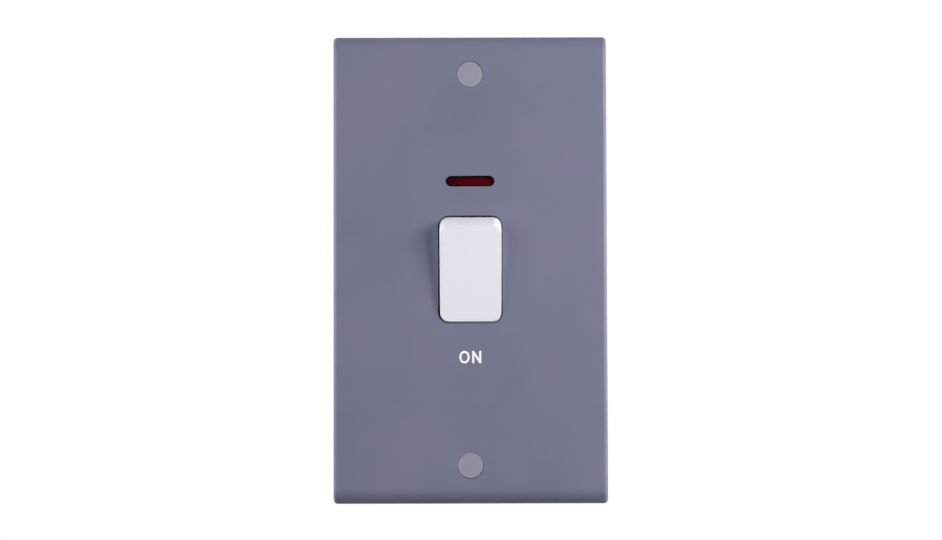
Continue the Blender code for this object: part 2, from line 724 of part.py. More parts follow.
def fulcrum_plate():
    """Base of the supply strip, turned up at its end into the fulcrum, in its own frame mirrored in Z."""
    half = STRIP_WIDTH / 2
    edge = STRIP_THICKNESS / 2
    base = [(POLE_X - half, PAD_Y), (POLE_X + half, PAD_Y)]
    top_y = FULCRUM_Y + SEAT_GAP / 2
    knife = [(half, edge), (-half, edge), (-half, -edge), (half, -edge)]
    tip = [(x, math.copysign(FULCRUM_EDGE / 2, z)) for x, z in knife]
    levels = ((PAD_Y, knife), (top_y + edge, knife), (top_y, tip))
    shapes = [
        bent_sheet(base, -edge, STRIP_END),
        loft([at_depth(outline, y, POLE_X) for y, outline in levels]),
    ]
    for side in (-1, 1):
        inner = POLE_X + side * (BAR_WAIST / 2 + SEAT_GAP)
        outer = inner + side * FULCRUM_PRONG
        low = (min(inner, outer), top_y - FULCRUM_PRONG_HEIGHT, -edge)
        shapes.append(box(low, (max(inner, outer), PAD_Y, edge)))
    return shapes


def make_strip(name, side, with_fulcrum, material):
    """Copper strip from a contact or a fulcrum to its terminal; supply strips run downwards."""
    strip = make_object(name, strip_across(POLE_X if with_fulcrum else POLE_X - STRIP_WIDTH / 2))
    join(strip, strip_tongue())
    if with_fulcrum:
        join(strip, *fulcrum_plate())
    end = -1 if with_fulcrum else 1
    strip.data.transform(Matrix.Diagonal((side, 1, end, 1)))
    if side * end < 0:
        strip.data.flip_normals()
    return finish(strip, material)


def make_terminal(name, side, end, material):
    """Brass tunnel terminal, threaded from behind for two screws."""
    half_x = TERMINAL_WIDTH / 2
    half_z = TERMINAL_LENGTH / 2
    low = (-half_x, TERMINAL_FRONT_Y, -half_z)
    place = (side * TERMINAL_X, 0, end * TERMINAL_Z)
    made = make_object(name, soft_box(low, (half_x, TERMINAL_REAR_Y, half_z), SEAT_GAP), location=place)
    half_tunnel = TUNNEL_WIDTH / 2
    low = (-half_tunnel, TUNNEL_FRONT_Y, -half_z - OVERCUT)
    cut(made, box(low, (half_tunnel, TUNNEL_REAR_Y, half_z + OVERCUT)))
    for step in (-1, 1):
        z = step * TERMINAL_SCREW_PITCH / 2
        bore = TERMINAL_SCREW_SHANK / 2 + SEAT_GAP
        cut(made, rod(bore, TUNNEL_REAR_Y - OVERCUT, TERMINAL_REAR_Y + OVERCUT, 0, z, SMALL_STEPS))
    return finish(made, material)


def slotted_screw(shank, head, head_height, length, steps=SMALL_STEPS):
    """Screw along +Y from under its head at y = 0 down to y = -length, with a slotted head above."""
    edge = head_height / 4
    point = shank / 6
    profile = [
        (shank / 2 - point, -length),
        (shank / 2, -length + point),
        (shank / 2, 0),
        (head / 2, 0),
        (head / 2, head_height - edge),
        (head / 2 - edge, head_height),
    ]
    return turned(profile, steps)


def screw_slot(head, head_height, slot_width):
    """Cutter for the driver slot."""
    half = slot_width / 2
    floor = head_height * (1 - SLOT_DEPTH_SHARE)
    return box((-head, floor, -half), (head, head_height + OVERCUT, half))


def make_rear_screw(name, place, shank, head, head_height, length, material, turn=0.0):
    """Screw driven from behind, its slot turned as it was left."""
    made = make_object(name, slotted_screw(shank, head, head_height, length))
    cut(made, screw_slot(head, head_height, shank / 4))
    made.location = place
    made.rotation_euler = (0, turn, 0)
    return finish(made, material)


def make_fixing_screw(name, end, material):
    """Plate screw, driven from the front and reaching behind the wall plane into the box."""
    made = make_object(
        name, slotted_screw(FIXING_SHANK, FIXING_HEAD, FIXING_HEAD_HEIGHT, FIXING_LENGTH)
    )
    cut(made, screw_slot(FIXING_HEAD, FIXING_HEAD_HEIGHT, FIXING_SHANK / 4))
    seat_y = FACE_Y + COVER_BORE_DEPTH - SEAT_GAP
    made.location = (0, seat_y, end * FIXING_CENTRES / 2)
    made.rotation_euler = (math.pi, 0, 0)
    return finish(made, material)


def make_screw_cover(name, end, material):
    """Push-in cover: a disc flush with the face and a split skirt behind it."""
    radius = COVER_DIAMETER / 2
    edge = COVER_THICKNESS / 5
    skirt_radius = radius - COVER_WALL / 2
    profile = [
        (radius - edge, 0),
        (radius, edge),
        (radius, COVER_THICKNESS),
        (skirt_radius, COVER_THICKNESS),
        (skirt_radius, COVER_THICKNESS + COVER_SKIRT),
    ]
    place = (0, FACE_Y, end * FIXING_CENTRES / 2)
    made = make_object(name, turned(profile), location=place)
    deep = COVER_THICKNESS + COVER_SKIRT + OVERCUT
    cut(made, rod(skirt_radius - COVER_WALL, COVER_THICKNESS, deep, steps=ROUND_STEPS))
    half = COVER_WALL
    cut(made, box((-radius, COVER_THICKNESS + COVER_WALL / 4, -half), (radius, deep, half)))
    return finish(made, material)


def ear(x, z, y_from, y_to):
    """Fixing ear that reaches out from the mouldings' side wall."""
    side = math.copysign(1, x)
    radius = EAR_DIAMETER / 2
    root_x = HOUSING_HALF_WIDTH - HOUSING_WALL / 2
    web = mirrored((root_x, y_from, z - radius), (abs(x), y_to, z + radius), side)
    return [web, rod(radius, y_from, y_to, x, z)]


def make_cradle(material):
    """Front moulding of the mechanism: rocker well, bearings, lens seat and fixing ears."""
    outline = rounded_rectangle(HOUSING_HALF_WIDTH, HOUSING_HALF_LENGTH, HOUSING_CORNER, 3)
    cradle = make_object("rocker_cradle", prism(outline, CRADLE_FRONT_Y, CRADLE_REAR_Y))
    clamp_hole = CLAMP_SCREW_SHANK / 2 + SEAT_GAP
    for x, z in EAR_PLACES:
        join(cradle, *ear(x, z, EAR_FRONT_Y, CRADLE_REAR_Y))
        cut(cradle, rod(clamp_hole, EAR_FRONT_Y - OVERCUT, CRADLE_REAR_Y + OVERCUT, x, z, SMALL_STEPS))
    well = rounded_rectangle(WELL_HALF_WIDTH, WELL_HALF_LENGTH, ROCKER_CORNER / 2, 2)
    cut(cradle, prism(well, CRADLE_FRONT_Y - OVERCUT, WELL_FLOOR_Y))
    for _, side in SIDES:
        cut(cradle, stem_slot(side), *pin_bearing(side))
    cut(cradle, *lens_seat())
    cut(cradle, *cradle_cores())
    for _, side in SIDES:
        for end in (1, -1):
            half = HOUSING_WALL
            low = (TERMINAL_X - half, CRADLE_FRONT_Y + CRADLE_SKIN - SINK, TERMINAL_Z - half)
            high = (TERMINAL_X + half, TERMINAL_FRONT_Y - SEAT_GAP, TERMINAL_Z + half)
            join(cradle, mirrored(low, high, side, end))
    return finish(cradle, material)


def stem_slot(side):
    """Slot in the well's floor in which a stem swings."""
    swing = (CRADLE_REAR_Y - PIVOT_Y) * math.tan(ROCKER_TILT)
    half_x = STEM_DIAMETER / 2 + SLIDE_GAP
    half_z = STEM_DIAMETER / 2 / math.cos(ROCKER_TILT) + swing + SLIDE_GAP
    outline = rounded_rectangle(half_x, half_z, half_x - SEAT_GAP, 3)
    return prism(outline, WELL_FLOOR_Y - OVERCUT, CRADLE_REAR_Y + OVERCUT, side * POLE_X)


def pin_bearing(side):
    """Bearing slot for a rocker pin, open to the front."""
    radius = PIVOT_PIN / 2 + SEAT_GAP
    inner_x = WELL_HALF_WIDTH - OVERCUT
    low = (inner_x, CRADLE_FRONT_Y - OVERCUT, -radius)
    slot = mirrored(low, (BEARING_END_X, PIVOT_Y, radius), side)
    bore_ends = sorted((side * inner_x, side * BEARING_END_X))
    return [slot, along_x(rod(radius, *bore_ends, steps=SMALL_STEPS), y=PIVOT_Y)]


def lens_seat():
    """Pocket for the lens flange, a window behind it and the lamp's half of the neon room."""
    flange = slot_outline(LENS_FLANGE_HALF_X + SEAT_GAP, LENS_FLANGE_HALF_Z + SEAT_GAP)
    pocket_y = CRADLE_FRONT_Y + LENS_FLANGE_THICKNESS + SEAT_GAP
    window = slot_outline(NEON_SLOT_WIDTH / 2, NEON_SLOT_HEIGHT / 2 + SEAT_GAP)
    room_front = LAMP_DEPTH - LAMP_DIAMETER / 2 - HOUSING_WALL
    half_x, *_ = neon_limits()
    half_z = LAMP_DIAMETER / 2 + SLIDE_GAP
    low = (-half_x, room_front, NEON_CENTRE - half_z)
    return [
        prism(flange, CRADLE_FRONT_Y - OVERCUT, pocket_y, 0, NEON_CENTRE),
        prism(window, pocket_y - OVERCUT, room_front + OVERCUT, 0, NEON_CENTRE),
        box(low, (half_x, CRADLE_REAR_Y + OVERCUT, NEON_CENTRE + half_z)),
    ]


def cradle_cores():
    """Pockets moulded from behind so that no wall is thick."""
    y_from = CRADLE_FRONT_Y + CRADLE_SKIN
    y_to = CRADLE_REAR_Y + OVERCUT
    outer_x = HOUSING_HALF_WIDTH - HOUSING_WALL
    outer_z = HOUSING_HALF_LENGTH - HOUSING_WALL
    beside_bearing = BEARING_END_X + HOUSING_WALL
    beyond_well = WELL_HALF_LENGTH + HOUSING_WALL
    cores = []
    for side in (-1, 1):
        for end in (1, -1):
            low = (beside_bearing, y_from, RIB_THICKNESS / 2)
            cores.append(mirrored(low, (outer_x, y_to, beyond_well - HOUSING_WALL), side, end))
            low = (WELL_HALF_WIDTH + HOUSING_WALL, y_from, beyond_well)
            cores.append(mirrored(low, (outer_x, y_to, outer_z), side, end))
    low = (-WELL_HALF_WIDTH, y_from, -outer_z)
    cores.append(box(low, (WELL_HALF_WIDTH, y_to, -beyond_well)))
    return cores


def make_housing(material):
    """Rear moulding: a room for each pole, one for each terminal and one for the neon."""
    outline = rounded_rectangle(HOUSING_HALF_WIDTH, HOUSING_HALF_LENGTH, HOUSING_CORNER, 3)
    housing = make_object("housing_base", prism(outline, HOUSING_FRONT_Y, HOUSING_REAR_Y))
    ear_rear = HOUSING_FRONT_Y + EAR_THICKNESS
    clamp_hole = CLAMP_SCREW_SHANK / 2 + SEAT_GAP
    for x, z in EAR_PLACES:
        join(housing, *ear(x, z, HOUSING_FRONT_Y, ear_rear))
        cut(housing, rod(clamp_hole, HOUSING_FRONT_Y - OVERCUT, ear_rear + OVERCUT, x, z, SMALL_STEPS))
    for _, side in SIDES:
        cut(housing, *pole_room(side))
        for end in (1, -1):
            cut(housing, *terminal_room(side, end))
    cut(housing, *neon_room())
    join(housing, *lamp_ribs())
    cut(housing, *rear_cores())
    return finish(housing, material)


def terminal_walls():
    """Inner and outer x of a terminal's room."""
    half = TERMINAL_WIDTH / 2 + SEAT_GAP
    return TERMINAL_X - half, TERMINAL_X + half


def pole_room(side):
    """Room for one contact bar, and the pocket beside it that keeps the wall thin."""
    y_from = HOUSING_FRONT_Y - OVERCUT
    inner_x, outer_x = terminal_walls()
    room_end = TERMINAL_START - SEAT_GAP
    pocket_end = STRIP_END - STRIP_CROSS_WIDTH - HOUSING_WALL - SEAT_GAP
    low = (POLE_BARRIER / 2, y_from, -room_end)
    pocket_low = (inner_x + HOUSING_WALL, y_from, -pocket_end)
    return [
        mirrored(low, (inner_x, FLOOR_Y, room_end), side),
        mirrored(pocket_low, (outer_x, FLOOR_Y, pocket_end), side),
    ]


def terminal_room(side, end):
    """Room for a terminal, its cable mouth and the holes to its screws."""
    inner_x, outer_x = terminal_walls()
    y_from = HOUSING_FRONT_Y - OVERCUT
    z_from = STRIP_END - STRIP_CROSS_WIDTH - SEAT_GAP
    z_to = TERMINAL_START + TERMINAL_LENGTH + SEAT_GAP
    low = (inner_x - SEAT_GAP, y_from, z_from)
    step = mirrored(low, (outer_x, FLOOR_Y, TERMINAL_START - SEAT_GAP), side, end)
    low = (inner_x, y_from, STRIP_END)
    room = mirrored(low, (outer_x, FLOOR_Y, z_to), side, end)
    half = TUNNEL_WIDTH / 2
    low = (TERMINAL_X - half, TUNNEL_FRONT_Y, z_to - OVERCUT)
    mouth = mirrored(low, (TERMINAL_X + half, TUNNEL_REAR_Y, HOUSING_HALF_LENGTH + OVERCUT), side, end)
    shapes = [step, room, mouth]
    for screw_step in (-1, 1):
        z = end * (TERMINAL_Z + screw_step * TERMINAL_SCREW_PITCH / 2)
        hole = TERMINAL_SCREW_HEAD / 2 + SLIDE_GAP
        x = side * TERMINAL_X
        shapes.append(rod(hole, FLOOR_Y - OVERCUT, HOUSING_REAR_Y + OVERCUT, x, z, SMALL_STEPS))
    return shapes


def neon_limits():
    """Half width, low z, high z and floor of the neon room."""
    half_x = lead_x() + 2 * LEAD_DIAMETER
    low_z = TERMINAL_START - SEAT_GAP + HOUSING_WALL
    high_z = HOUSING_HALF_LENGTH - HOUSING_WALL
    return half_x, low_z, high_z, RESISTOR_DEPTH + RESISTOR_DIAMETER * 2


def neon_room():
    """Room for the lamp and resistor, with a notch each side for the leads."""
    half_x, low_z, high_z, floor_y = neon_limits()
    y_from = HOUSING_FRONT_Y - OVERCUT
    shapes = [box((-half_x, y_from, low_z), (half_x, floor_y, high_z))]
    for side in (-1, 1):
        low = (lead_x() - 2 * LEAD_DIAMETER, y_from, low_z - 2 * HOUSING_WALL)
        high = (lead_x() + LEAD_DIAMETER, HOUSING_FRONT_Y + 4 * LEAD_DIAMETER, low_z + OVERCUT)
        shapes.append(mirrored(low, high, side))
    return shapes


def lamp_ribs():
    """Two ribs in the neon room on which the lamp and the resistor lie."""
    _, low_z, high_z, floor_y = neon_limits()
    half = RIB_THICKNESS / 2
    shapes = []
    for side in (-1, 1):
        x = side * RESISTOR_LENGTH / 4
        step_z = (RESISTOR_CENTRE + NEON_CENTRE) / 2
        top = RESISTOR_DEPTH + RESISTOR_DIAMETER / 2 + SEAT_GAP
        high = (x + half, floor_y + SINK, high_z + SINK)
        shapes.append(box((x - half, top, low_z - SINK), high))
        top = LAMP_DEPTH + LAMP_DIAMETER / 2 + SEAT_GAP
        shapes.append(box((x - half, top, step_z), high))
    return shapes


def rear_cores():
    """Pockets in the rear face between the lower terminals, parted by a rib."""
    half_x, low_z, high_z, _ = neon_limits()
    y_from = HOUSING_FRONT_Y + HOUSING_WALL
    y_to = HOUSING_REAR_Y + OVERCUT
    shapes = []
    for side in (-1, 1):
        low = (RIB_THICKNESS / 2, y_from, -high_z)
        shapes.append(mirrored(low, (half_x, y_to, -low_z), side))
    return shapes


def make_lens(material):
    """Red lens: a tongue in the plate's slot, a flange behind the face and a guide towards the lamp."""
    half_x = NEON_SLOT_WIDTH / 2 - SEAT_GAP
    half_z = NEON_SLOT_HEIGHT / 2 - SEAT_GAP
    front = FACE_Y + LENS_RECESS
    flange_y = CRADLE_FRONT_Y
    flange_rear = flange_y + LENS_FLANGE_THICKNESS
    edge = SEAT_GAP
    levels = [
        (front, half_x - edge, half_z - edge),
        (front + edge, half_x, half_z),
        (flange_y, half_x, half_z),
        (flange_y, LENS_FLANGE_HALF_X, LENS_FLANGE_HALF_Z),
        (flange_rear, LENS_FLANGE_HALF_X, LENS_FLANGE_HALF_Z),
        (flange_rear, half_x, half_z),
        (flange_rear + LENS_GUIDE_LENGTH, half_x - edge, half_z - edge),
    ]
    loops = [at_depth(slot_outline(x, z, 4), y) for y, x, z in levels]
    return finish(make_object("neon_lens", loft(loops), location=(0, 0, NEON_CENTRE)), material)


def make_lamp(material):
    """Small neon lamp lying across, with a sealed tip at one end and a pinch at the other."""
    half = LAMP_LENGTH / 2
    radius = LAMP_DIAMETER / 2
    steps = 3
    dome = []
    for step in range(1, steps + 1):
        angle = math.pi / 2 * step / steps
        dome.append((radius * math.sin(angle), -half + radius * (1 - math.cos(angle))))
    tip = LAMP_PINCH / 6
    profile = [(LAMP_PINCH / 2, -half), *dome, *[(r, -y) for r, y in reversed(dome)], (tip, half)]
    shape = along_x(turned(profile, SMALL_STEPS))
    return finish(make_object("neon_lamp", shape, location=(0, LAMP_DEPTH, NEON_CENTRE)), material)


def make_resistor(material):
    """Ballast resistor with the swollen ends of its kind."""
    half = RESISTOR_LENGTH / 2
    radius = RESISTOR_DIAMETER / 2
    waist = radius - RESISTOR_SWELL
    end = [(radius / 2, -half), (radius, -half + radius / 2)]
    end += [(radius, -half + radius), (waist, -half + radius * 3 / 2)]
    profile = end + [(r, -y) for r, y in reversed(end)]
    shape = along_x(turned(profile, SMALL_STEPS))
    place = (0, RESISTOR_DEPTH, RESISTOR_CENTRE)
    return finish(make_object("neon_resistor", shape, location=place), material)


def lead_x():
    """Distance from the middle at which the leads pass the lamp and go into the pole rooms."""
    return LAMP_LENGTH / 2 + SEAT_GAP + 3 * LEAD_DIAMETER


def make_lead(name, route, material):
    """Thin wire on a smooth curve through a route's points."""
    steps = 4
    points = [Vector(point) for point in route]
    ends = [points[0] * 2 - points[1]] + points + [points[-1] * 2 - points[-2]]
    smooth = []
    for before, here, after, beyond in zip(ends, ends[1:], ends[2:], ends[3:]):
        for step in range(steps):
            t = step / steps
            pull = (after - before) * t + (before * 2 - here * 5 + after * 4 - beyond) * t**2
            smooth.append(here + (pull + (here * 3 - before - after * 3 + beyond) * t**3) / 2)
    smooth.append(points[-1])
    curve = bpy.data.curves.new(name, "CURVE")
    curve.dimensions = "3D"
    curve.bevel_depth = LEAD_DIAMETER / 2
    curve.bevel_resolution = 1
    curve.use_fill_caps = True
    line = curve.splines.new("POLY")
    line.points.add(len(smooth) - 1)
    for point, place in zip(line.points, smooth):
        point.co = (*place, 1)
    curve.materials.append(material)
    made = bpy.data.objects.new(name, curve)
    bpy.context.scene.collection.objects.link(made)
    return made


def make_leads(material):
    """Lamp to the left load strip, lamp across to the resistor, and resistor to the right load strip."""
    lamp_end = LAMP_LENGTH / 2 + SEAT_GAP
    resistor_end = RESISTOR_LENGTH / 2 + SEAT_GAP
    bend = 2 * LEAD_DIAMETER
    out = lamp_end + bend
    half_way = (NEON_CENTRE + RESISTOR_CENTRE) / 2
    half_depth = (LAMP_DEPTH + RESISTOR_DEPTH) / 2
    link = [
        (lamp_end, LAMP_DEPTH, NEON_CENTRE),
        (out, LAMP_DEPTH, NEON_CENTRE - bend),
        (out - bend, half_depth, half_way + bend),
        (bend - out, half_depth, half_way - bend / 2),
        (-resistor_end - bend, RESISTOR_DEPTH, RESISTOR_CENTRE + bend / 2),
        (-resistor_end, RESISTOR_DEPTH, RESISTOR_CENTRE),
    ]
    make_lead("neon_lead_link", link, material)
    over_y = HOUSING_FRONT_Y + bend
    strip_y = TONGUE_FRONT_Y - SEAT_GAP - LEAD_DIAMETER / 2
    strip_z = STRIP_END - STRIP_CROSS_WIDTH / 2
    wall_z = TERMINAL_START + HOUSING_WALL / 2
    for name, x, y, z in (
        ("neon_lead_left", -lamp_end, LAMP_DEPTH, NEON_CENTRE),
        ("neon_lead_right", resistor_end, RESISTOR_DEPTH, RESISTOR_CENTRE),
    ):
        far_x = math.copysign(lead_x(), x)
        route = [
            (x, y, z),
            (far_x, (y + over_y) / 2, z - bend),
            (far_x, over_y, wall_z),
            (far_x, over_y + LEAD_DIAMETER, strip_z + LEAD_DIAMETER),
            (math.copysign(RISER_X + bend, x), strip_y, strip_z),
        ]
        make_lead(name, route, material)


def make_earth_terminal(material):
    """Brass earth block on the back of the plate, with its tunnel across and two screws from behind."""
    half_x = EARTH_WIDTH / 2
    half_z = EARTH_HEIGHT / 2
    front = UNDER_FACE_Y + SEAT_GAP
    low = (-half_x, front, -half_z)
    shape = soft_box(low, (half_x, front + EARTH_DEPTH, half_z), SEAT_GAP)
    made = make_object("earth_terminal", shape, location=(0, 0, -EARTH_CENTRE))
    half = EARTH_TUNNEL / 2
    tunnel_front = front + TERMINAL_FRONT_WALL
    low = (-half_x - OVERCUT, tunnel_front, -half)
    cut(made, box(low, (half_x + OVERCUT, tunnel_front + EARTH_TUNNEL, half)))
    for side in (-1, 1):
        bore = EARTH_SCREW_SHANK / 2 + SEAT_GAP
        bore_from = tunnel_front + EARTH_TUNNEL / 2
        x = side * EARTH_SCREW_SPACING / 2
        cut(made, rod(bore, bore_from, front + EARTH_DEPTH + OVERCUT, x, 0, SMALL_STEPS))
    return finish(made, material)


def make_screws(steel, brass):
    """Terminal, earth, clamp and fixing screws."""
    seat_y = TERMINAL_REAR_Y + SEAT_GAP
    length = seat_y - TUNNEL_REAR_Y + SEAT_GAP
    turn = 0
    for kind, end in (("load", 1), ("supply", -1)):
        for word, side in SIDES:
            for number, step in ((1, 1), (2, -1)):
                turn += SLOT_TURN
                make_rear_screw(
                    f"{kind}_screw_{word}_{number}",
                    (side * TERMINAL_X, seat_y, end * TERMINAL_Z + step * TERMINAL_SCREW_PITCH / 2),
                    TERMINAL_SCREW_SHANK,
                    TERMINAL_SCREW_HEAD,
                    TERMINAL_SCREW_HEAD_HEIGHT,
                    length,
                    brass,
                    turn,
                )
    seat_y = HOUSING_FRONT_Y + EAR_THICKNESS + SEAT_GAP
    length = seat_y - UNDER_FACE_Y - 3 * SEAT_GAP
    for number, (x, z) in enumerate(EAR_PLACES, 1):
        make_rear_screw(
            f"clamp_screw_{number}",
            (x, seat_y, z),
            CLAMP_SCREW_SHANK,
            CLAMP_SCREW_HEAD,
            CLAMP_SCREW_HEAD_HEIGHT,
            length,
            steel,
            number * SLOT_TURN,
        )
    seat_y = UNDER_FACE_Y + EARTH_DEPTH + 2 * SEAT_GAP
    length = EARTH_DEPTH - TERMINAL_FRONT_WALL - EARTH_TUNNEL + 2 * SEAT_GAP
    for word, side in SIDES:
        make_rear_screw(
            f"earth_screw_{word}",
            (side * EARTH_SCREW_SPACING / 2, seat_y, -EARTH_CENTRE),
            EARTH_SCREW_SHANK,
            EARTH_SCREW_HEAD,
            TERMINAL_SCREW_HEAD_HEIGHT,
            length,
            brass,
            side * SLOT_TURN,
        )
    for word, end in (("top", 1), ("bottom", -1)):
        make_fixing_screw(f"fixing_screw_{word}", end, steel)


def main():
    clear_scene()
    grey = make_material("grey_moulding", (122, 123, 146), 0.45)
    cover_grey = make_material("cover_grey", (147, 146, 162), 0.45)
    white = make_material("white_moulding", (229, 228, 237), 0.3)
    inner_white = make_material("housing_white", (214, 214, 208), 0.5)
    red = make_material("red_lens", (104, 16, 30), 0.2, transmission=0.4)
    glass = make_material("lamp_glass", (225, 225, 225), 0.05, transmission=0.9)
    brass = make_material("brass", (190, 152, 86), 0.35, metallic=1.0)
    copper = make_material("copper_strip", (196, 128, 94), 0.35, metallic=1.0)
    silver = make_material("contact_silver", (214, 212, 206), 0.3, metallic=1.0)
    steel = make_material("plated_steel", (184, 184, 182), 0.35, metallic=1.0)
    spring_steel = make_material("spring_steel", (150, 150, 150), 0.35, metallic=1.0)
    plunger_black = make_material("plunger_moulding", (52, 52, 54), 0.5)
    resistor_tan = make_material("resistor_body", (196, 170, 128), 0.55)

    make_front_plate(grey)
    make_cradle(inner_white)
    make_housing(inner_white)
    rocker_pivot = make_pivot("rocker_pivot", (0, PIVOT_Y, 0), ROCKER_TILT)
    make_rocker(rocker_pivot, white)
    for word, side in SIDES:
        make_plunger(f"plunger_{word}", side, rocker_pivot, plunger_black)
        make_coil(f"plunger_spring_{word}", side, rocker_pivot, spring_steel)
        bar_pivot = make_pivot(f"bar_pivot_{word}", (side * POLE_X, FULCRUM_Y, 0), -ROCKER_TILT)
        make_contact_bar(f"contact_bar_{word}", bar_pivot, copper)
        make_moving_contact(f"moving_contact_{word}", bar_pivot, silver)
        make_fixed_contact(f"fixed_contact_{word}", side, silver)
        make_strip(f"load_strip_{word}", side, False, copper)
        make_strip(f"supply_strip_{word}", side, True, copper)
        make_terminal(f"load_terminal_{word}", side, 1, brass)
        make_terminal(f"supply_terminal_{word}", side, -1, brass)
    make_screws(steel, brass)
    for word, end in (("top", 1), ("bottom", -1)):
        make_screw_cover(f"screw_cover_{word}", end, cover_grey)
    make_lens(red)
    make_lamp(glass)
    make_resistor(resistor_tan)
    make_leads(steel)
    make_earth_terminal(brass)


main()
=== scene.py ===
import json
import math
import bmesh
import bpy
from mathutils import Matrix, Vector


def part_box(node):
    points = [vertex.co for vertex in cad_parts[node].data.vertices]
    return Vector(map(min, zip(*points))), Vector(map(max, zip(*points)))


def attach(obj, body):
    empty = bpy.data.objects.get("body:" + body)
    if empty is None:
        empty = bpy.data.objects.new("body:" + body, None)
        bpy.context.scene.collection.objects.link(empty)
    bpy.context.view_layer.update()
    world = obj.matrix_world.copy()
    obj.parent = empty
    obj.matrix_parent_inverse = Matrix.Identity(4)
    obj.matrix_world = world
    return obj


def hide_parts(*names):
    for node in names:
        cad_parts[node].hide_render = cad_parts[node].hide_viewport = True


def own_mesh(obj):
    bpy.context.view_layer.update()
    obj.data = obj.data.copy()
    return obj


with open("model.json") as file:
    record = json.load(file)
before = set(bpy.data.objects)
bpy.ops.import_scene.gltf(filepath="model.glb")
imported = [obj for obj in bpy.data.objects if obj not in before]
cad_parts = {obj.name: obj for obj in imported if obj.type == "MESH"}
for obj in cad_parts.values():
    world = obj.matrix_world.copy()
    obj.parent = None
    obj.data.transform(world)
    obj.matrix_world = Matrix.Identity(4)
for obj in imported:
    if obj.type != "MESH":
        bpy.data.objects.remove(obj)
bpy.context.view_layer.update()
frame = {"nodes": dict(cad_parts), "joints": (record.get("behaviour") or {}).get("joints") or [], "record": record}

print("frame loaded:", len(frame["nodes"]), "nodes")

# ways of working, used by every piece

work = {
    "same": 1e-5,          # closer than this is one place
    "doubles": 1e-6,       # points of a spun or wound shape that are merged
    "past": 0.001,         # how far a cutter runs past the face it starts from
    "roundEnd": 0.998,     # share of the half width in a full round end
    "square": 0.9,         # a face whose normal has this much of a direction looks that way
    "flat": 1,             # degrees; faces that meet at less are one face
    "seed": 0.001,         # size of the plane that a drawn line starts from
}


def onlySelect(piece):
    bpy.ops.object.select_all(action="DESELECT")
    piece.select_set(True)
    bpy.context.view_layer.objects.active = piece


def startEdit(piece, mode="EDGE"):
    onlySelect(piece)
    bpy.ops.object.mode_set(mode="EDIT")
    bpy.ops.mesh.select_mode(type=mode)
    bpy.ops.mesh.select_all(action="DESELECT")


def endEdit():
    bpy.ops.object.mode_set(mode="OBJECT")


def selectAll():
    bpy.ops.mesh.select_all(action="SELECT")


def pick(kind, test):
    # selects the faces or edges that pass the test, and nothing else
    bpy.ops.mesh.select_mode(type={"faces": "FACE", "edges": "EDGE"}[kind])
    mesh = bmesh.from_edit_mesh(bpy.context.object.data)
    bpy.ops.mesh.select_all(action="DESELECT")
    for part in getattr(mesh, kind):
        if test(part):
            part.select_set(True)
    mesh.select_flush_mode()
    bmesh.update_edit_mesh(bpy.context.object.data)


def extrude(step):
    bpy.ops.mesh.extrude_region_move(TRANSFORM_OT_translate={"value": step})


def facePointOutwards():
    selectAll()
    bpy.ops.mesh.normals_make_consistent(inside=False)


def middle(part):
    return sum((v.co for v in part.verts), Vector()) / len(part.verts)


def near(a, b, slack=work["same"]):
    return abs(a - b) < slack


def atDepth(edge, y):
    return all(near(v.co.y, y) for v in edge.verts)


def looksFront(face):
    return face.normal.y < -work["square"]


def looksBack(face):
    return face.normal.y > work["square"]


def reach(edge, axis):
    # how far an edge runs along x, y or z (0, 1 or 2)
    return abs(edge.verts[0].co[axis] - edge.verts[1].co[axis])


def onOneSide(edge, fromX):
    # wholly past fromX, to the left or to the right of the middle
    a, b = (v.co.x for v in edge.verts)
    return abs(a) > fromX and abs(b) > fromX and a * b > 0


def settle(piece, name):
    # names a new primitive and brings its place into its mesh
    piece.name = name
    piece.data.name = name
    bpy.ops.object.transform_apply(location=True, rotation=True, scale=True)
    return piece


def addCube(name, low, high):
    low, high = Vector(low), Vector(high)
    bpy.ops.mesh.primitive_cube_add(size=1, location=(low + high) / 2, scale=high - low)
    return settle(bpy.context.object, name)


def addBlock(name, xs, ys, zs):
    # a cube between two places on each axis, named in any order
    low, high = zip(sorted(xs), sorted(ys), sorted(zs))
    return addCube(name, low, high)


def addRod(name, radius, start, end, steps=64):
    # a round bar between two points
    start, end = Vector(start), Vector(end)
    along = end - start
    turn = along.to_track_quat("Z", "Y").to_euler()
    bpy.ops.mesh.primitive_cylinder_add(
        vertices=steps, radius=radius, depth=along.length, location=(start + end) / 2, rotation=turn
    )
    return settle(bpy.context.object, name)


def addSlot(name, halfX, halfZ, ys, centreZ):
    # a bar with full round ends, pointing to the front
    piece = addBlock(name, (-halfX, halfX), ys, (centreZ - halfZ, centreZ + halfZ))
    startEdit(piece)
    pick("edges", lambda e: reach(e, 0) < work["same"] and reach(e, 2) < work["same"])
    bpy.ops.mesh.bevel(offset=halfZ * work["roundEnd"], segments=20)
    endEdit()
    return piece


def applyModifier(piece, step):
    onlySelect(piece)
    bpy.ops.object.modifier_apply(modifier=step.name)


def joinCut(piece, tool, operation):
    step = piece.modifiers.new(operation.lower(), "BOOLEAN")
    step.operation = operation
    step.solver = "EXACT"
    step.object = tool
    applyModifier(piece, step)
    bpy.data.objects.remove(tool)


def cut(piece, tool):
    joinCut(piece, tool, "DIFFERENCE")


def weld(piece, tool):
    joinCut(piece, tool, "UNION")


def smooth(piece, angle=35):
    # smooth by angle, with flat faces kept flat
    onlySelect(piece)
    bpy.ops.object.shade_smooth_by_angle(angle=math.radians(angle))
    step = piece.modifiers.new("flatFaces", "WEIGHTED_NORMAL")
    step.keep_sharp = True
    step.weight = 100
    applyModifier(piece, step)


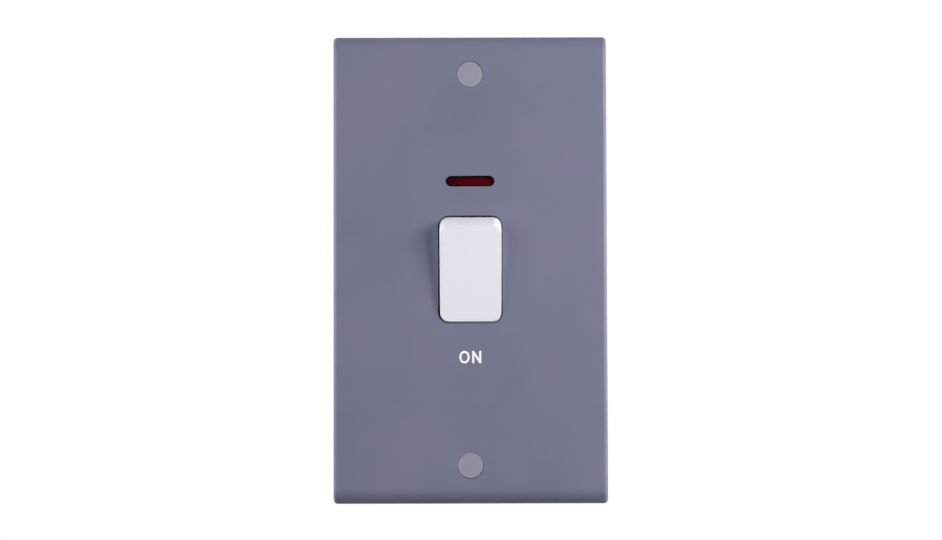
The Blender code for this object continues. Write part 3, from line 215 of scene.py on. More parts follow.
def drawLine(name, points):
    # a point drawn out from place to place; it stays selected, in edit mode
    bpy.ops.mesh.primitive_plane_add(size=work["seed"])
    piece = bpy.context.object
    piece.name = name
    piece.data.name = name
    startEdit(piece, "VERT")
    selectAll()
    bpy.ops.mesh.merge(type="CENTER")
    bpy.ops.transform.translate(value=points[0])
    for here, ahead in zip(points, points[1:]):
        extrude(tuple(b - a for a, b in zip(here, ahead)))
    selectAll()
    return piece


def addLathe(name, profile, steps=48):
    # a turned body about the Y axis: (radius, y) points drawn one after another, then spun
    piece = drawLine(name, [(radius, y, 0) for radius, y in profile])
    bpy.ops.mesh.spin(steps=steps, angle=2 * math.pi, center=(0, 0, 0), axis=(0, 1, 0))
    selectAll()
    bpy.ops.mesh.remove_doubles(threshold=work["doubles"])
    facePointOutwards()
    endEdit()
    return piece


def arc(radius, centre, steps, fromAngle, toAngle):
    # profile points on a round about (0, centre), angles in degrees from the radial direction
    angles = [math.radians(fromAngle + (toAngle - fromAngle) * k / steps) for k in range(steps + 1)]
    return [(radius * math.cos(angle), centre + radius * math.sin(angle)) for angle in angles]


def copyOf(piece, name):
    made = piece.copy()
    made.data = piece.data.copy()
    made.name = name
    made.data.name = name
    bpy.context.scene.collection.objects.link(made)
    return made


def softened(node, width, angle=35):
    # a CAD part's own shape with its moulded or tumbled edges rounded
    shape = frame["nodes"][node].data.copy()
    piece = bpy.data.objects.new(node + "Soft", shape)
    shape.name = piece.name
    bpy.context.scene.collection.objects.link(piece)
    startEdit(piece, "VERT")
    selectAll()
    bpy.ops.mesh.remove_doubles(threshold=2 * work["doubles"])
    bpy.ops.mesh.dissolve_limited(angle_limit=math.radians(work["flat"]))
    endEdit()
    step = piece.modifiers.new("softEdges", "BEVEL")
    step.limit_method = "ANGLE"
    step.angle_limit = math.radians(angle)
    step.width = width
    step.segments = 2
    applyModifier(piece, step)
    smooth(piece, angle)
    return piece


def place(piece, material, body, slotName, *nodes):
    piece.data.materials.clear()
    piece.data.materials.append(material)
    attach(piece, body)
    if nodes:
        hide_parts(*nodes)
    return piece


# materials: colours are given as they are seen, 0 to 255

def linear(value):
    # the sRGB curve
    share = value / 255
    return share / 12.92 if share <= 0.04045 else ((share + 0.055) / 1.055) ** 2.4


def colour(red, green, blue):
    return (linear(red), linear(green), linear(blue), 1)


def newMaterial(name, base, roughness, metallic=0.0):
    material = bpy.data.materials.new(name)
    material.use_nodes = True
    shader = material.node_tree.nodes["Principled BSDF"]
    shader.inputs["Base Color"].default_value = base
    shader.inputs["Roughness"].default_value = roughness
    shader.inputs["Metallic"].default_value = metallic
    return material, material.node_tree, shader


def objectPoint(tree, stretch=(1, 1, 1)):
    # the point on the piece, in metres, stretched along an axis for grain
    coords = tree.nodes.new("ShaderNodeTexCoord")
    mapping = tree.nodes.new("ShaderNodeMapping")
    mapping.inputs["Scale"].default_value = stretch
    tree.links.new(coords.outputs["Object"], mapping.inputs["Vector"])
    return mapping.outputs["Vector"]


def splitPoint(tree, point):
    split = tree.nodes.new("ShaderNodeSeparateXYZ")
    tree.links.new(point, split.inputs["Vector"])
    return split.outputs


def noise(tree, point, scale, detail=2.0, roughness=0.5):
    made = tree.nodes.new("ShaderNodeTexNoise")
    made.inputs["Scale"].default_value = scale
    made.inputs["Detail"].default_value = detail
    made.inputs["Roughness"].default_value = roughness
    tree.links.new(point, made.inputs["Vector"])
    return made.outputs["Fac"]


def ramp(tree, value, stops):
    made = tree.nodes.new("ShaderNodeValToRGB")
    made.color_ramp.elements[0].position = stops[0][0]
    made.color_ramp.elements[0].color = stops[0][1]
    made.color_ramp.elements[1].position = stops[-1][0]
    made.color_ramp.elements[1].color = stops[-1][1]
    for position, shade in stops[1:-1]:
        made.color_ramp.elements.new(position).color = shade
    tree.links.new(value, made.inputs["Fac"])
    return made.outputs["Color"]


def mapRange(tree, value, toLow, toHigh, fromLow=0.3, fromHigh=0.7):
    made = tree.nodes.new("ShaderNodeMapRange")
    made.inputs["From Min"].default_value = fromLow
    made.inputs["From Max"].default_value = fromHigh
    made.inputs["To Min"].default_value = toLow
    made.inputs["To Max"].default_value = toHigh
    tree.links.new(value, made.inputs["Value"])
    return made.outputs["Result"]


def joinMath(tree, operation, first, second):
    made = tree.nodes.new("ShaderNodeMath")
    made.operation = operation
    tree.links.new(first, made.inputs[0])
    tree.links.new(second, made.inputs[1])
    return made.outputs[0]


def multiply(tree, first, second):
    return joinMath(tree, "MULTIPLY", first, second)


def unevenGloss(tree, shader, look, amount):
    # gloss that strays to both sides of the finish's own roughness
    low, high = look["roughness"] - look["roughnessDown"], look["roughness"] + look["roughnessUp"]
    tree.links.new(mapRange(tree, amount, low, high), shader.inputs["Roughness"])


def bump(tree, shader, height, strength, distance):
    made = tree.nodes.new("ShaderNodeBump")
    made.inputs["Strength"].default_value = strength
    made.inputs["Distance"].default_value = distance
    tree.links.new(height, made.inputs["Height"])
    tree.links.new(made.outputs["Normal"], shader.inputs["Normal"])


plasticLook = {
    "grain": 0.25,             # strength of the fine moulding texture
    "grainScale": 900.0,       # its size, per metre
    "grainDepth": 0.00002,
    "grainNoise": (3.0, 0.55), # detail and roughness of the noise that makes it
    "cloudScale": 28.0,        # slow drift of colour over the piece
    "cloudNoise": (4.0, 0.6),
    "cloudRange": (0.32, 0.68),
    "patchFiner": 3,           # patches of gloss, this much finer than the drift
    "patchDetail": 3.0,
    "ior": 1.46,
    "roughnessDown": 0.03,     # how far the gloss strays from patch to patch
    "roughnessUp": 0.04,
}
plastics = {
    "plateGrey": {"usual": (114, 116, 137), "dark": (110, 113, 133), "light": (118, 119, 141),
                  "roughness": 0.45, "ior": 1.2},
    "coverGrey": {"usual": (138, 137, 154), "dark": (135, 134, 150), "light": (141, 141, 158),
                  "roughness": 0.45},
    "rockerWhite": {"usual": (226, 225, 233), "dark": (224, 223, 231), "light": (228, 227, 235),
                    "roughness": 0.36, "grain": 0.05},
    "housingWhite": {"usual": (214, 214, 208), "dark": (209, 209, 201), "light": (219, 219, 214),
                     "roughness": 0.5},
    "plungerBlack": {"usual": (52, 52, 54), "dark": (46, 46, 49), "light": (58, 58, 60),
                     "roughness": 0.45},
    "resistorTan": {"usual": (196, 170, 128), "dark": (188, 160, 118), "light": (204, 180, 140),
                    "roughness": 0.5},
}


def makePlastic(name):
    # moulded plastic: slow colour drift, fine skin texture, slightly uneven gloss
    look = {**plasticLook, **plastics[name]}
    dark, usual, light = (colour(*look[key]) for key in ("dark", "usual", "light"))
    material, tree, shader = newMaterial(name, usual, look["roughness"])
    point = objectPoint(tree)
    cloud = noise(tree, point, look["cloudScale"], *look["cloudNoise"])
    low, high = look["cloudRange"]
    shade = ramp(tree, cloud, [(low, dark), (0.5, usual), (high, light)])
    tree.links.new(shade, shader.inputs["Base Color"])
    patches = noise(tree, point, look["cloudScale"] * look["patchFiner"], look["patchDetail"])
    unevenGloss(tree, shader, look, patches)
    skin = noise(tree, point, look["grainScale"], *look["grainNoise"])
    bump(tree, shader, skin, look["grain"], look["grainDepth"])
    shader.inputs["IOR"].default_value = look["ior"]
    return material


metalLook = {
    "tarnish": 0.3,            # how much of the surface has gone dull
    "spotScale": 420.0,
    "spotNoise": (4.0, 0.65),
    "across": 2500,            # fine lines left by drawing or turning, per metre across them
    "alongLine": 60,           # and along them
    "lineDetail": 2.0,
    "lineBump": 0.12,
    "lineDepth": 0.00001,
    "roughnessDown": 0.07,
    "roughnessUp": 0.1,
}
metals = {
    "terminalBrass": {"bright": (198, 164, 98), "dull": (168, 130, 74),
                      "roughness": 0.32, "lines": "z", "tarnish": 0.35},
    "screwBrass": {"bright": (205, 172, 106), "dull": (176, 140, 82),
                   "roughness": 0.28, "lines": "y", "tarnish": 0.35},
    "copperStrip": {"bright": (204, 136, 102), "dull": (170, 104, 76),
                    "roughness": 0.34, "lines": "z", "tarnish": 0.35},
    "contactSilver": {"bright": (222, 220, 214), "dull": (196, 192, 184),
                      "roughness": 0.25, "lines": "y", "tarnish": 0.2},
    "zincSteel": {"bright": (196, 196, 194), "dull": (168, 170, 170),
                  "roughness": 0.3, "lines": "y"},
    "springSteel": {"bright": (160, 160, 162), "dull": (128, 128, 130),
                    "roughness": 0.3, "lines": "y"},
}


def makeMetal(name):
    # drawn or turned metal: fine lines along one axis and a little tarnish
    look = {**metalLook, **metals[name]}
    bright, dull = colour(*look["bright"]), colour(*look["dull"])
    tarnish = look["tarnish"]
    material, tree, shader = newMaterial(name, bright, look["roughness"], metallic=1.0)
    stretch = [look["alongLine"] if axis == look["lines"] else look["across"] for axis in "xyz"]
    lines = noise(tree, objectPoint(tree, stretch), 1.0, look["lineDetail"])
    spots = noise(tree, objectPoint(tree), look["spotScale"], *look["spotNoise"])
    shade = ramp(tree, spots, [(0.5 - tarnish / 2, dull), (0.5 + tarnish / 3, bright)])
    tree.links.new(shade, shader.inputs["Base Color"])
    unevenGloss(tree, shader, look, lines)
    bump(tree, shader, lines, look["lineBump"], look["lineDepth"])
    return material


glassLook = {"tint": (232, 230, 226), "roughness": 0.05, "clear": 0.85, "ior": 1.48,
             "streakScale": 300.0, "streakDetail": 2.0, "streakRoughness": (0.03, 0.1)}


def makeGlass():
    tint = colour(*glassLook["tint"])
    material, tree, shader = newMaterial("lampGlass", tint, glassLook["roughness"])
    shader.inputs["Transmission Weight"].default_value = glassLook["clear"]
    shader.inputs["IOR"].default_value = glassLook["ior"]
    streaks = noise(tree, objectPoint(tree), glassLook["streakScale"], glassLook["streakDetail"])
    gloss = mapRange(tree, streaks, *glassLook["streakRoughness"])
    tree.links.new(gloss, shader.inputs["Roughness"])
    return material


printLook = {"usual": (247, 247, 255), "thin": (236, 236, 246), "full": (250, 250, 255),
             "roughness": 0.5, "scale": 1500.0, "detail": 3.0, "thinTo": 0.3, "fullFrom": 0.6}


def makePrint():
    # printed mark, a little thin in places
    usual, thin, full = (colour(*printLook[key]) for key in ("usual", "thin", "full"))
    material, tree, shader = newMaterial("printWhite", usual, printLook["roughness"])
    cloud = noise(tree, objectPoint(tree), printLook["scale"], printLook["detail"])
    shade = ramp(tree, cloud, [(printLook["thinTo"], thin), (printLook["fullFrom"], full)])
    tree.links.new(shade, shader.inputs["Base Color"])
    return material


greyPlastic = makePlastic("plateGrey")
coverPlastic = makePlastic("coverGrey")
whitePlastic = makePlastic("rockerWhite")
innerPlastic = makePlastic("housingWhite")
plungerPlastic = makePlastic("plungerBlack")
resistorPaint = makePlastic("resistorTan")
brass = makeMetal("terminalBrass")
screwBrass = makeMetal("screwBrass")
copper = makeMetal("copperStrip")
silver = makeMetal("contactSilver")
steel = makeMetal("zincSteel")
springSteel = makeMetal("springSteel")
lampGlass = makeGlass()
printWhite = makePrint()
print("materials made")

# places taken from the frame

plateLow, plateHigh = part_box("front_plate")
faceY = plateLow.y
coverLow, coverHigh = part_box("screw_cover_top")
coverZ = (coverLow.z + coverHigh.z) / 2
lensLow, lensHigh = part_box("neon_lens")
neonZ = (lensLow.z + lensHigh.z) / 2
tiltJoint = next(joint for joint in frame["joints"] if joint["name"] == "rocker_tilt")
pivot = Vector(tiltJoint["pos_m"])

# front plate

plate = {
    "faceThickness": 0.0028,
    "wall": 0.0025,
    "rollRadius": 0.005,        # top and bottom edges
    "sideRadius": 0.0013,       # side edges and plan corners
    "innerRadius": 0.0008,      # plan corners and side edges of the room behind the face
    "draft": 0.0009,
    "sideSlack": 0.0001,        # the side edges are found this far inside their place
    "edgeBreak": 0.00003,       # softened edges of the openings
    "edgeTurn": 1.0,            # radians; an opening's edge is at least this sharp
    "edgeMargin": 0.01,         # no opening lies this close to the plate's sides
    "slotHalfX": 0.00755,
    "slotHalfZ": 0.00165,
    "slotDepth": 0.004,
    "apertureHalfX": 0.0099,
    "apertureCorner": 0.0032,
    "apertureZ": -0.00005,      # the opening sits a little low about the rocker
    "apertureOver": 0.0005,     # how far its cutter goes beyond the face's inside
    "coverBore": 0.00403,
    "coverBoreDepth": 0.005,
    "screwHole": 0.002,
    "root": 0.0007,             # how deep ribs, pillars and bosses are rooted in the face
    "pillar": 0.00575,
    "boss": 0.0032,
    "bossX": 0.026,
    "bossZ": 0.014,
    "pilot": 0.0016,            # blind hole in each boss
    "pilotFloor": 0.0003,
    "ribHeight": 0.0022,
    "rib": 0.0012,
    "ribEnd": 0.8,              # share of the end wall that the middle rib stays clear of
    "mechanismHalfX": 0.0218,
    "mechanismHalfZ": 0.0313,
    "seat": 0.0003,
    "earthZ": -0.0462,
    "earthHalfX": 0.00525,
    "earthHalfZ": 0.004,
}

# rocker, whose swing gives the plate's opening its shape

rocker = {
    "width": 0.019,
    "height": 0.0095,           # face above the pivot
    "length": 0.0295,
    "skirt": 0.0015,
    "corner": 0.0028,
    "edge": 0.00028,
    "wall": 0.0018,
    "top": 0.0022,              # thickness under the face
    "tilt": 8.0,                # degrees, at ON
    "clearance": 0.00042,
    "draft": 0.00015,
    "lip": 0.0049,              # height above the pivot where the relief of the ends begins
    "relief": 0.0005,
    "reliefTo": 0.02,           # outer end of the relief's cutter
    "steps": 288,               # facets of the whole round that the shell is cut from
    "aside": 0.00009,           # side play taken up to the right
}
endRadius = math.hypot(rocker["length"] / 2, rocker["height"])


def apertureHalfZ(depth):
    # the opening follows the arc that the rocker's ends turn on
    height = pivot.y - faceY - depth
    return math.sqrt((endRadius + rocker["clearance"]) ** 2 - height ** 2)


def makePlateBody():
    body = addCube("plateShell", plateLow, plateHigh)
    startEdit(body)
    pick("faces", looksFront)
    size = plateHigh - plateLow
    draft = plate["draft"]
    narrower = (1 - 2 * draft / size.x, 1, 1 - 2 * draft / size.z)
    bpy.ops.transform.resize(value=narrower, center_override=(0, faceY, 0))
    pick("edges", lambda e: near(middle(e).y, faceY) and near(middle(e).x, 0))
    bpy.ops.mesh.bevel(offset=plate["rollRadius"], segments=18)
    sideX = plateHigh.x - draft - plate["sideSlack"]
    pick("edges", lambda e: onOneSide(e, sideX) and middle(e).y < -work["same"])
    bpy.ops.mesh.bevel(offset=plate["sideRadius"], segments=8)
    endEdit()
    cut(body, makePlateHollow())
    return body


def makePlateHollow():
    # the room behind the face, its inner edges rounded like the outside ones
    wall, floorY = plate["wall"], faceY + plate["faceThickness"]
    halfX, halfZ = plateHigh.x - wall, plateHigh.z - wall
    room = addBlock("room", (-halfX, halfX), (floorY, 2 * work["past"]), (-halfZ, halfZ))
    startEdit(room)
    pick("edges", lambda e: near(middle(e).y, floorY) and near(middle(e).x, 0))
    bpy.ops.mesh.bevel(offset=plate["rollRadius"] - wall, segments=8)
    pick("edges", lambda e: onOneSide(e, halfX - work["same"]) and middle(e).y < work["past"])
    bpy.ops.mesh.bevel(offset=plate["innerRadius"], segments=4)
    endEdit()
    return room


def addPlateRibs(body):
    # ribs across and up the ends, a rim about the mechanism, cheeks at the earth terminal
    floorY = faceY + plate["faceThickness"]
    root, top = floorY - plate["root"], floorY + plate["ribHeight"]
    rib, half = plate["rib"], plate["rib"] / 2
    toSide = plateHigh.x - plate["wall"] / 2
    toEnd = plateHigh.z - plate["wall"] * plate["ribEnd"]
    innerX, innerZ = plate["mechanismHalfX"], plate["mechanismHalfZ"]
    earthX, earthZ, earthHalfZ = plate["earthHalfX"], plate["earthZ"], plate["earthHalfZ"]
    for end in (1, -1):
        z = end * coverZ
        weld(body, addBlock("rib", (-toSide, toSide), (root, top), (z - half, z + half)))
        weld(body, addBlock("rib", (-half, half), (root, top), (z, end * toEnd)))
        rim = (end * innerZ, end * (innerZ + rib))
        weld(body, addBlock("rim", (-innerX - rib, innerX + rib), (root, top), rim))
        rim = (end * innerX, end * (innerX + rib))
        weld(body, addBlock("rim", rim, (root, top), (-innerZ, innerZ)))
        cheek = (earthZ + end * earthHalfZ, earthZ + end * (earthHalfZ + rib))
        weld(body, addBlock("cheek", (-earthX, earthX), (root, 0), cheek))
        weld(body, addRod("pillar", plate["pillar"], (0, root, z), (0, -plate["seat"], z)))
        for side in (1, -1):
            addBoss(body, side * plate["bossX"], end * plate["bossZ"], floorY)


def addBoss(body, x, z, floorY):
    start, end = (x, floorY - plate["root"], z), (x, -plate["seat"], z)
    weld(body, addRod("boss", plate["boss"], start, end, steps=40))
    start, end = (x, floorY + plate["pilotFloor"], z), (x, work["past"], z)
    cut(body, addRod("pilot", plate["pilot"], start, end, steps=32))


def cutPlateOpenings(body):
    past = work["past"]
    for end in (1, -1):
        z = end * coverZ
        bored = (0, faceY + plate["coverBoreDepth"], z)
        cut(body, addRod("coverBore", plate["coverBore"], (0, faceY - past, z), bored))
        cut(body, addRod("screwHole", plate["screwHole"], (0, faceY, z), (0, past, z), steps=40))
    ys = (faceY - past, faceY + plate["slotDepth"])
    cut(body, addSlot("neonSlot", plate["slotHalfX"], plate["slotHalfZ"], ys, neonZ))
    cut(body, makeAperture())


def makeAperture():
    # the rocker's opening, wider towards the inside, with rounded corners
    depth, centre = plate["faceThickness"] + plate["apertureOver"], plate["apertureZ"]
    spread = (apertureHalfZ(depth) - apertureHalfZ(0)) / depth
    half = apertureHalfZ(0) - spread * work["past"]
    halfX = plate["apertureHalfX"]
    ys = (faceY - work["past"], faceY + depth)
    tool = addBlock("aperture", (-halfX, halfX), ys, (centre - half, centre + half))
    startEdit(tool)
    pick("faces", looksBack)
    wider = (1, 1, apertureHalfZ(depth) / half)
    bpy.ops.transform.resize(value=wider, center_override=(0, faceY + depth, centre))
    pick("edges", lambda e: reach(e, 1) > plate["faceThickness"] / 2)
    bpy.ops.mesh.bevel(offset=plate["apertureCorner"], segments=10)
    endEdit()
    return tool


def breakFrontEdges(body):
    # the openings' front edges, softened as a moulding's are
    startEdit(body)
    inside = plateHigh.x - plate["edgeMargin"]

    def onOpening(edge):
        flat = all(near(v.co.y, faceY, 2 * work["doubles"]) for v in edge.verts)
        return flat and abs(middle(edge).x) < inside and edge.calc_face_angle(0) > plate["edgeTurn"]

    pick("edges", onOpening)
    bpy.ops.mesh.bevel(offset=plate["edgeBreak"], segments=3)
    endEdit()


def makePlate():
    body = makePlateBody()
    addPlateRibs(body)
    cutPlateOpenings(body)
    breakFrontEdges(body)
    smooth(body, 30)
    return place(body, greyPlastic, "root", "plate_grey", "front_plate")


makePlate()
print("plate made")


def makeRockerShell():
    # a slice of a cylinder about the pivot, its corners rounded, then hollowed from behind
    width, height, skirt = rocker["width"], rocker["height"], rocker["skirt"]
    topY, skirtY = pivot.y - height, pivot.y - skirt
    start, end = (-width / 2, pivot.y, 0), (width / 2, pivot.y, 0)
    shell = addRod("rockerShell", endRadius, start, end, rocker["steps"])
    startEdit(shell)
    for y, outwards in ((topY, -1), (skirtY, 1)):
        selectAll()
        bpy.ops.mesh.bisect(
            plane_co=(0, y, 0), plane_no=(0, outwards, 0), use_fill=True, clear_outer=True
        )

    def onCorner(edge):
        atSide = all(near(abs(v.co.x), width / 2) for v in edge.verts)
        return atSide and abs(middle(edge).z) > endRadius / 2 and reach(edge, 1) > work["same"]

    pick("edges", onCorner)
    bpy.ops.mesh.bevel(offset=rocker["corner"], segments=12, loop_slide=True)
    pick("faces", looksFront)
    narrower = (1 - 2 * rocker["draft"] / width, 1, 1)
    bpy.ops.transform.resize(value=narrower, center_override=(0, topY, 0))
    pick("edges", lambda e: atDepth(e, topY))
    bpy.ops.mesh.bevel(offset=rocker["edge"], segments=5)
    pick("faces", looksBack)
    bpy.ops.mesh.inset(thickness=rocker["wall"])
    extrude((0, -(height - skirt - rocker["top"]), 0))
    endEdit()
    return shell


def relieveEnds(shell):
    # below the lip the ends stand back, so that they clear the opening
    width, lip = rocker["width"], rocker["lip"]
    back = endRadius * math.cos(math.asin(lip / endRadius)) - rocker["relief"]
    for end in (1, -1):
        zs = (end * back, end * rocker["reliefTo"])
        cut(shell, addBlock("relief", (-width, width), (pivot.y - lip, pivot.y), zs))


rockerInside = {
    "stemX": 0.0047,            # beside the middle, one stem for each pole's plunger
    "stem": 0.0028,
    "stemEnd": 0.006,           # behind the pivot
    "stemBore": 0.00195,
    "boreFrom": -0.003,
    "boreTo": 0.007,
    "ribFrom": 0.0022,          # from the stem's middle
    "ribInto": 0.0009,          # how deep it goes into the side wall
    "ribHalf": 0.0006,
    "lugHalf": 0.0022,
    "lugRise": 0.003,
    "lugEnd": 0.00219,
    "lugIn": 0.0003,            # how far it stays inside the side wall's face
    "pin": 0.0016,
    "pinRoot": 0.0004,
    "pinReach": 0.0022,         # out of the side wall
    "steps": 48,
}


def addRockerInside(shell):
    # stems for the plungers, ribs, and the lugs with their pins
    size = rockerInside
    topY = pivot.y - rocker["height"] + rocker["wall"]
    outerX = rocker["width"] / 2
    innerX = outerX - rocker["wall"]
    for side in (1, -1):
        x = side * size["stemX"]
        start, end = (x, topY, 0), (x, pivot.y + size["stemEnd"], 0)
        weld(shell, addRod("stem", size["stem"], start, end, size["steps"]))
        start, end = (x, pivot.y + size["boreFrom"], 0), (x, pivot.y + size["boreTo"], 0)
        cut(shell, addRod("stemBore", size["stemBore"], start, end, size["steps"]))
        xs = (side * (size["stemX"] + size["ribFrom"]), side * (innerX + size["ribInto"]))
        ys = (topY, pivot.y - rocker["skirt"])
        weld(shell, addBlock("stemRib", xs, ys, (-size["ribHalf"], size["ribHalf"])))
        xs = sorted((side * innerX, side * (outerX - size["lugIn"])))
        ys = (pivot.y - size["lugRise"], pivot.y)
        lug = addBlock("lug", xs, ys, (-size["lugHalf"], size["lugHalf"]))
        start, end = (xs[0], pivot.y, 0), (xs[1], pivot.y, 0)
        weld(lug, addRod("lugEnd", size["lugEnd"], start, end, size["steps"]))
        weld(shell, lug)
        start = (side * (innerX + size["pinRoot"]), pivot.y, 0)
        end = (side * (outerX + size["pinReach"]), pivot.y, 0)
        weld(shell, addRod("pin", size["pin"], start, end, size["steps"]))


def tiltToRest(piece):
    turn = Matrix.Rotation(math.radians(rocker["tilt"]), 4, "X")
    piece.data.transform(Matrix.Translation(pivot) @ turn @ Matrix.Translation(-pivot))


def makeRocker():
    shell = makeRockerShell()
    relieveEnds(shell)
    addRockerInside(shell)
    tiltToRest(shell)
    shell.data.transform(Matrix.Translation((rocker["aside"], 0, 0)))
    smooth(shell, 30)
    return place(shell, whitePlastic, "rocker", "rocker_white", "rocker")


makeRocker()
print("rocker made")

# neon lens, a dark red tongue in its slot

lens = {
    "recess": 0.0009,
    "gap": 0.0003,
    "flange": 0.0013,
    "flangeThickness": 0.001,
    "edge": 0.00025,
    "usual": (58, 4, 14),
    "deep": (30, 3, 9),
    "bright": (72, 5, 17),
    "topShade": 0.5,            # painted shade: share of the light that is left at the slot's upper edge
    "leftShade": 0.8,           # and at its left end
    "gloss": 0.02,
    "roughness": 0.5,
    "cloudScale": 160.0,
    "cloudDetail": 3.0,
    "deepTo": 0.15,
    "brightFrom": 0.5,
}


def makeLensRed():
    # dark red, with painted shade that deepens it under the slot's upper edge and towards its left end
    usual = colour(*lens["usual"])
    material, tree, shader = newMaterial("lensRed", usual, lens["roughness"])
    point = objectPoint(tree)
    xyz = splitPoint(tree, point)
    halfX, halfZ = plate["slotHalfX"], plate["slotHalfZ"]
    # painted shade: the lens is made darker towards the slot's upper edge and its left end
    paintedShadeFromTop = mapRange(tree, xyz["Z"], 1.0, lens["topShade"], neonZ, neonZ + halfZ)
    paintedShadeFromLeft = mapRange(tree, xyz["X"], lens["leftShade"], 1.0, -halfX, halfX)
    cloud = noise(tree, point, lens["cloudScale"], lens["cloudDetail"])
    # colour level: a random cloud times the painted shade
    depth = multiply(tree, cloud, multiply(tree, paintedShadeFromTop, paintedShadeFromLeft))
    deep, bright = colour(*lens["deep"]), colour(*lens["bright"])
    shade = ramp(tree, depth, [(lens["deepTo"], deep), (lens["brightFrom"], bright)])
    tree.links.new(shade, shader.inputs["Base Color"])
    shader.inputs["Specular IOR Level"].default_value = lens["gloss"]
    return material


def makeLens():
    halfX, halfZ = plate["slotHalfX"], plate["slotHalfZ"]
    frontY = faceY + lens["recess"]
    flangeY = faceY + plate["faceThickness"] + lens["gap"]
    ys = (frontY, lensHigh.y)
    body = addSlot("neonLens", halfX - lens["gap"], halfZ - lens["gap"], ys, neonZ)
    startEdit(body)
    pick("edges", lambda e: atDepth(e, frontY))
    bpy.ops.mesh.bevel(offset=lens["edge"], segments=4)
    endEdit()
    ys = (flangeY, flangeY + lens["flangeThickness"])
    weld(body, addSlot("flange", halfX + lens["flange"], halfZ + lens["flange"], ys, neonZ))
    smooth(body)
    return place(body, lensRed, "root", "lens_red", "neon_lens")


lensRed = makeLensRed()
makeLens()

# screw covers, each a disc with a split skirt

cover = {
    "radius": 0.00395,
    "thickness": 0.001,
    "skirt": 0.0012,
    "wall": 0.0006,
    "edge": 0.00022,
    "split": 0.0012,
    "splitHalfX": 0.01,
    "overlap": 0.0003,          # of skirt and disc
    "splitFrom": 0.0001,        # behind the disc
    "aside": 0.00004,
    "steps": 96,
}


def makeCover(name, node, end):
    # each cover sits a little to the left in its bore and towards the plate's middle
    x, z = -cover["aside"], end * (coverZ - cover["aside"])
    discY = faceY + cover["thickness"]
    skirtY, pastY = discY + cover["skirt"], discY + cover["skirt"] + work["past"]
    body = addRod(name, cover["radius"], (x, faceY, z), (x, discY, z), cover["steps"])
    startEdit(body)
    pick("edges", lambda e: atDepth(e, faceY))
    bpy.ops.mesh.bevel(offset=cover["edge"], segments=4)
    endEdit()
    outer, half = cover["radius"] - cover["wall"] / 2, cover["split"] / 2
    start, end = (x, discY - cover["overlap"], z), (x, skirtY, z)
    weld(body, addRod("skirt", outer, start, end, cover["steps"]))
    start, end = (x, discY, z), (x, pastY, z)
    cut(body, addRod("skirtBore", outer - cover["wall"], start, end, cover["steps"]))
    xs, ys = (-cover["splitHalfX"], cover["splitHalfX"]), (discY + cover["splitFrom"], pastY)
    cut(body, addBlock("skirtSplit", xs, ys, (z - half, z + half)))
    smooth(body)
    return place(body, coverPlastic, node, "cover_grey", node)


makeCover("coverTop", "screw_cover_top", 1)
makeCover("coverBottom", "screw_cover_bottom", -1)
print("lens and covers made")

# the word ON under the rocker, printed on the face

mark = {
    "centreZ": -0.0270,
    "height": 0.0039,
    "stroke": 0.00066,
    "proud": 0.00002,
    "sunk": 0.0001,
    "oWidth": 0.00322,
    "oCentreX": -0.00185,
    "nWidth": 0.0028,
    "nCentreX": 0.0019,
}


def makeLetterO():
    halfX, halfZ = mark["oWidth"] / 2, mark["height"] / 2
    centre = (mark["oCentreX"], faceY - mark["proud"], mark["centreZ"])
    bpy.ops.mesh.primitive_circle_add(
        vertices=96, radius=1, fill_type="NGON", location=centre, rotation=(math.pi / 2, 0, 0)
    )
    letter = bpy.context.object
    letter.name = "markO"
    letter.scale = (halfX, halfZ, 1)
    bpy.ops.object.transform_apply(location=True, rotation=True, scale=True)
    startEdit(letter, "FACE")
    selectAll()
    bpy.ops.mesh.inset(thickness=mark["stroke"])
    bpy.ops.mesh.delete(type="FACE")
    endEdit()
    return letter


def drawOutline(name, points):
    # draws (x, z) points one after another in the plane of the print, then fills them
    piece = drawLine(name, [(x, faceY - mark["proud"], z) for x, z in points])
    bpy.ops.mesh.edge_face_add()
    endEdit()
    return piece


def strokeEnd(x, z, fromAngle, toAngle):
    return [(x + out, up) for out, up in arc(mark["stroke"] / 2, z, 20, fromAngle, toAngle)]


def makeLetterN():
    # two upright strokes and a slanting one with round ends, drawn as one outline
    half = mark["stroke"] / 2
    left = mark["nCentreX"] - mark["nWidth"] / 2 + half
    right = mark["nCentreX"] + mark["nWidth"] / 2 - half
    low = mark["centreZ"] - mark["height"] / 2 + half
    high = mark["centreZ"] + mark["height"] / 2 - half
    slant = math.atan2(low - high, right - left)
    square = math.degrees(slant) + 90
    # how far below its top the right stroke is met; the left one is met as far above its foot
    run = right - left - half + half * math.sin(slant)
    drop = -half * math.cos(slant) - run * math.tan(slant)
    outline = strokeEnd(left, low, 0, -180) + strokeEnd(left, high, 180, square)
    outline += [(right - half, high - drop)] + strokeEnd(right, high, 180, 0)
    outline += strokeEnd(right, low, 0, square - 180) + [(left + half, low + drop)]
    return drawOutline("markN", outline)


def thicken(letter):
    # gives a flat letter its depth, into the face
    startEdit(letter, "FACE")
    selectAll()
    extrude((0, mark["proud"] + mark["sunk"], 0))
    facePointOutwards()
    endEdit()
    return letter


def makeMark():
    letter, second = thicken(makeLetterO()), thicken(makeLetterN())
    onlySelect(letter)
    second.select_set(True)
    bpy.ops.object.join()
    letter.name = "markOn"
    return place(letter, printWhite, "root", "rocker_white")


makeMark()
print("mark made")

# screws: one turned and slotted per kind, then copied to each place

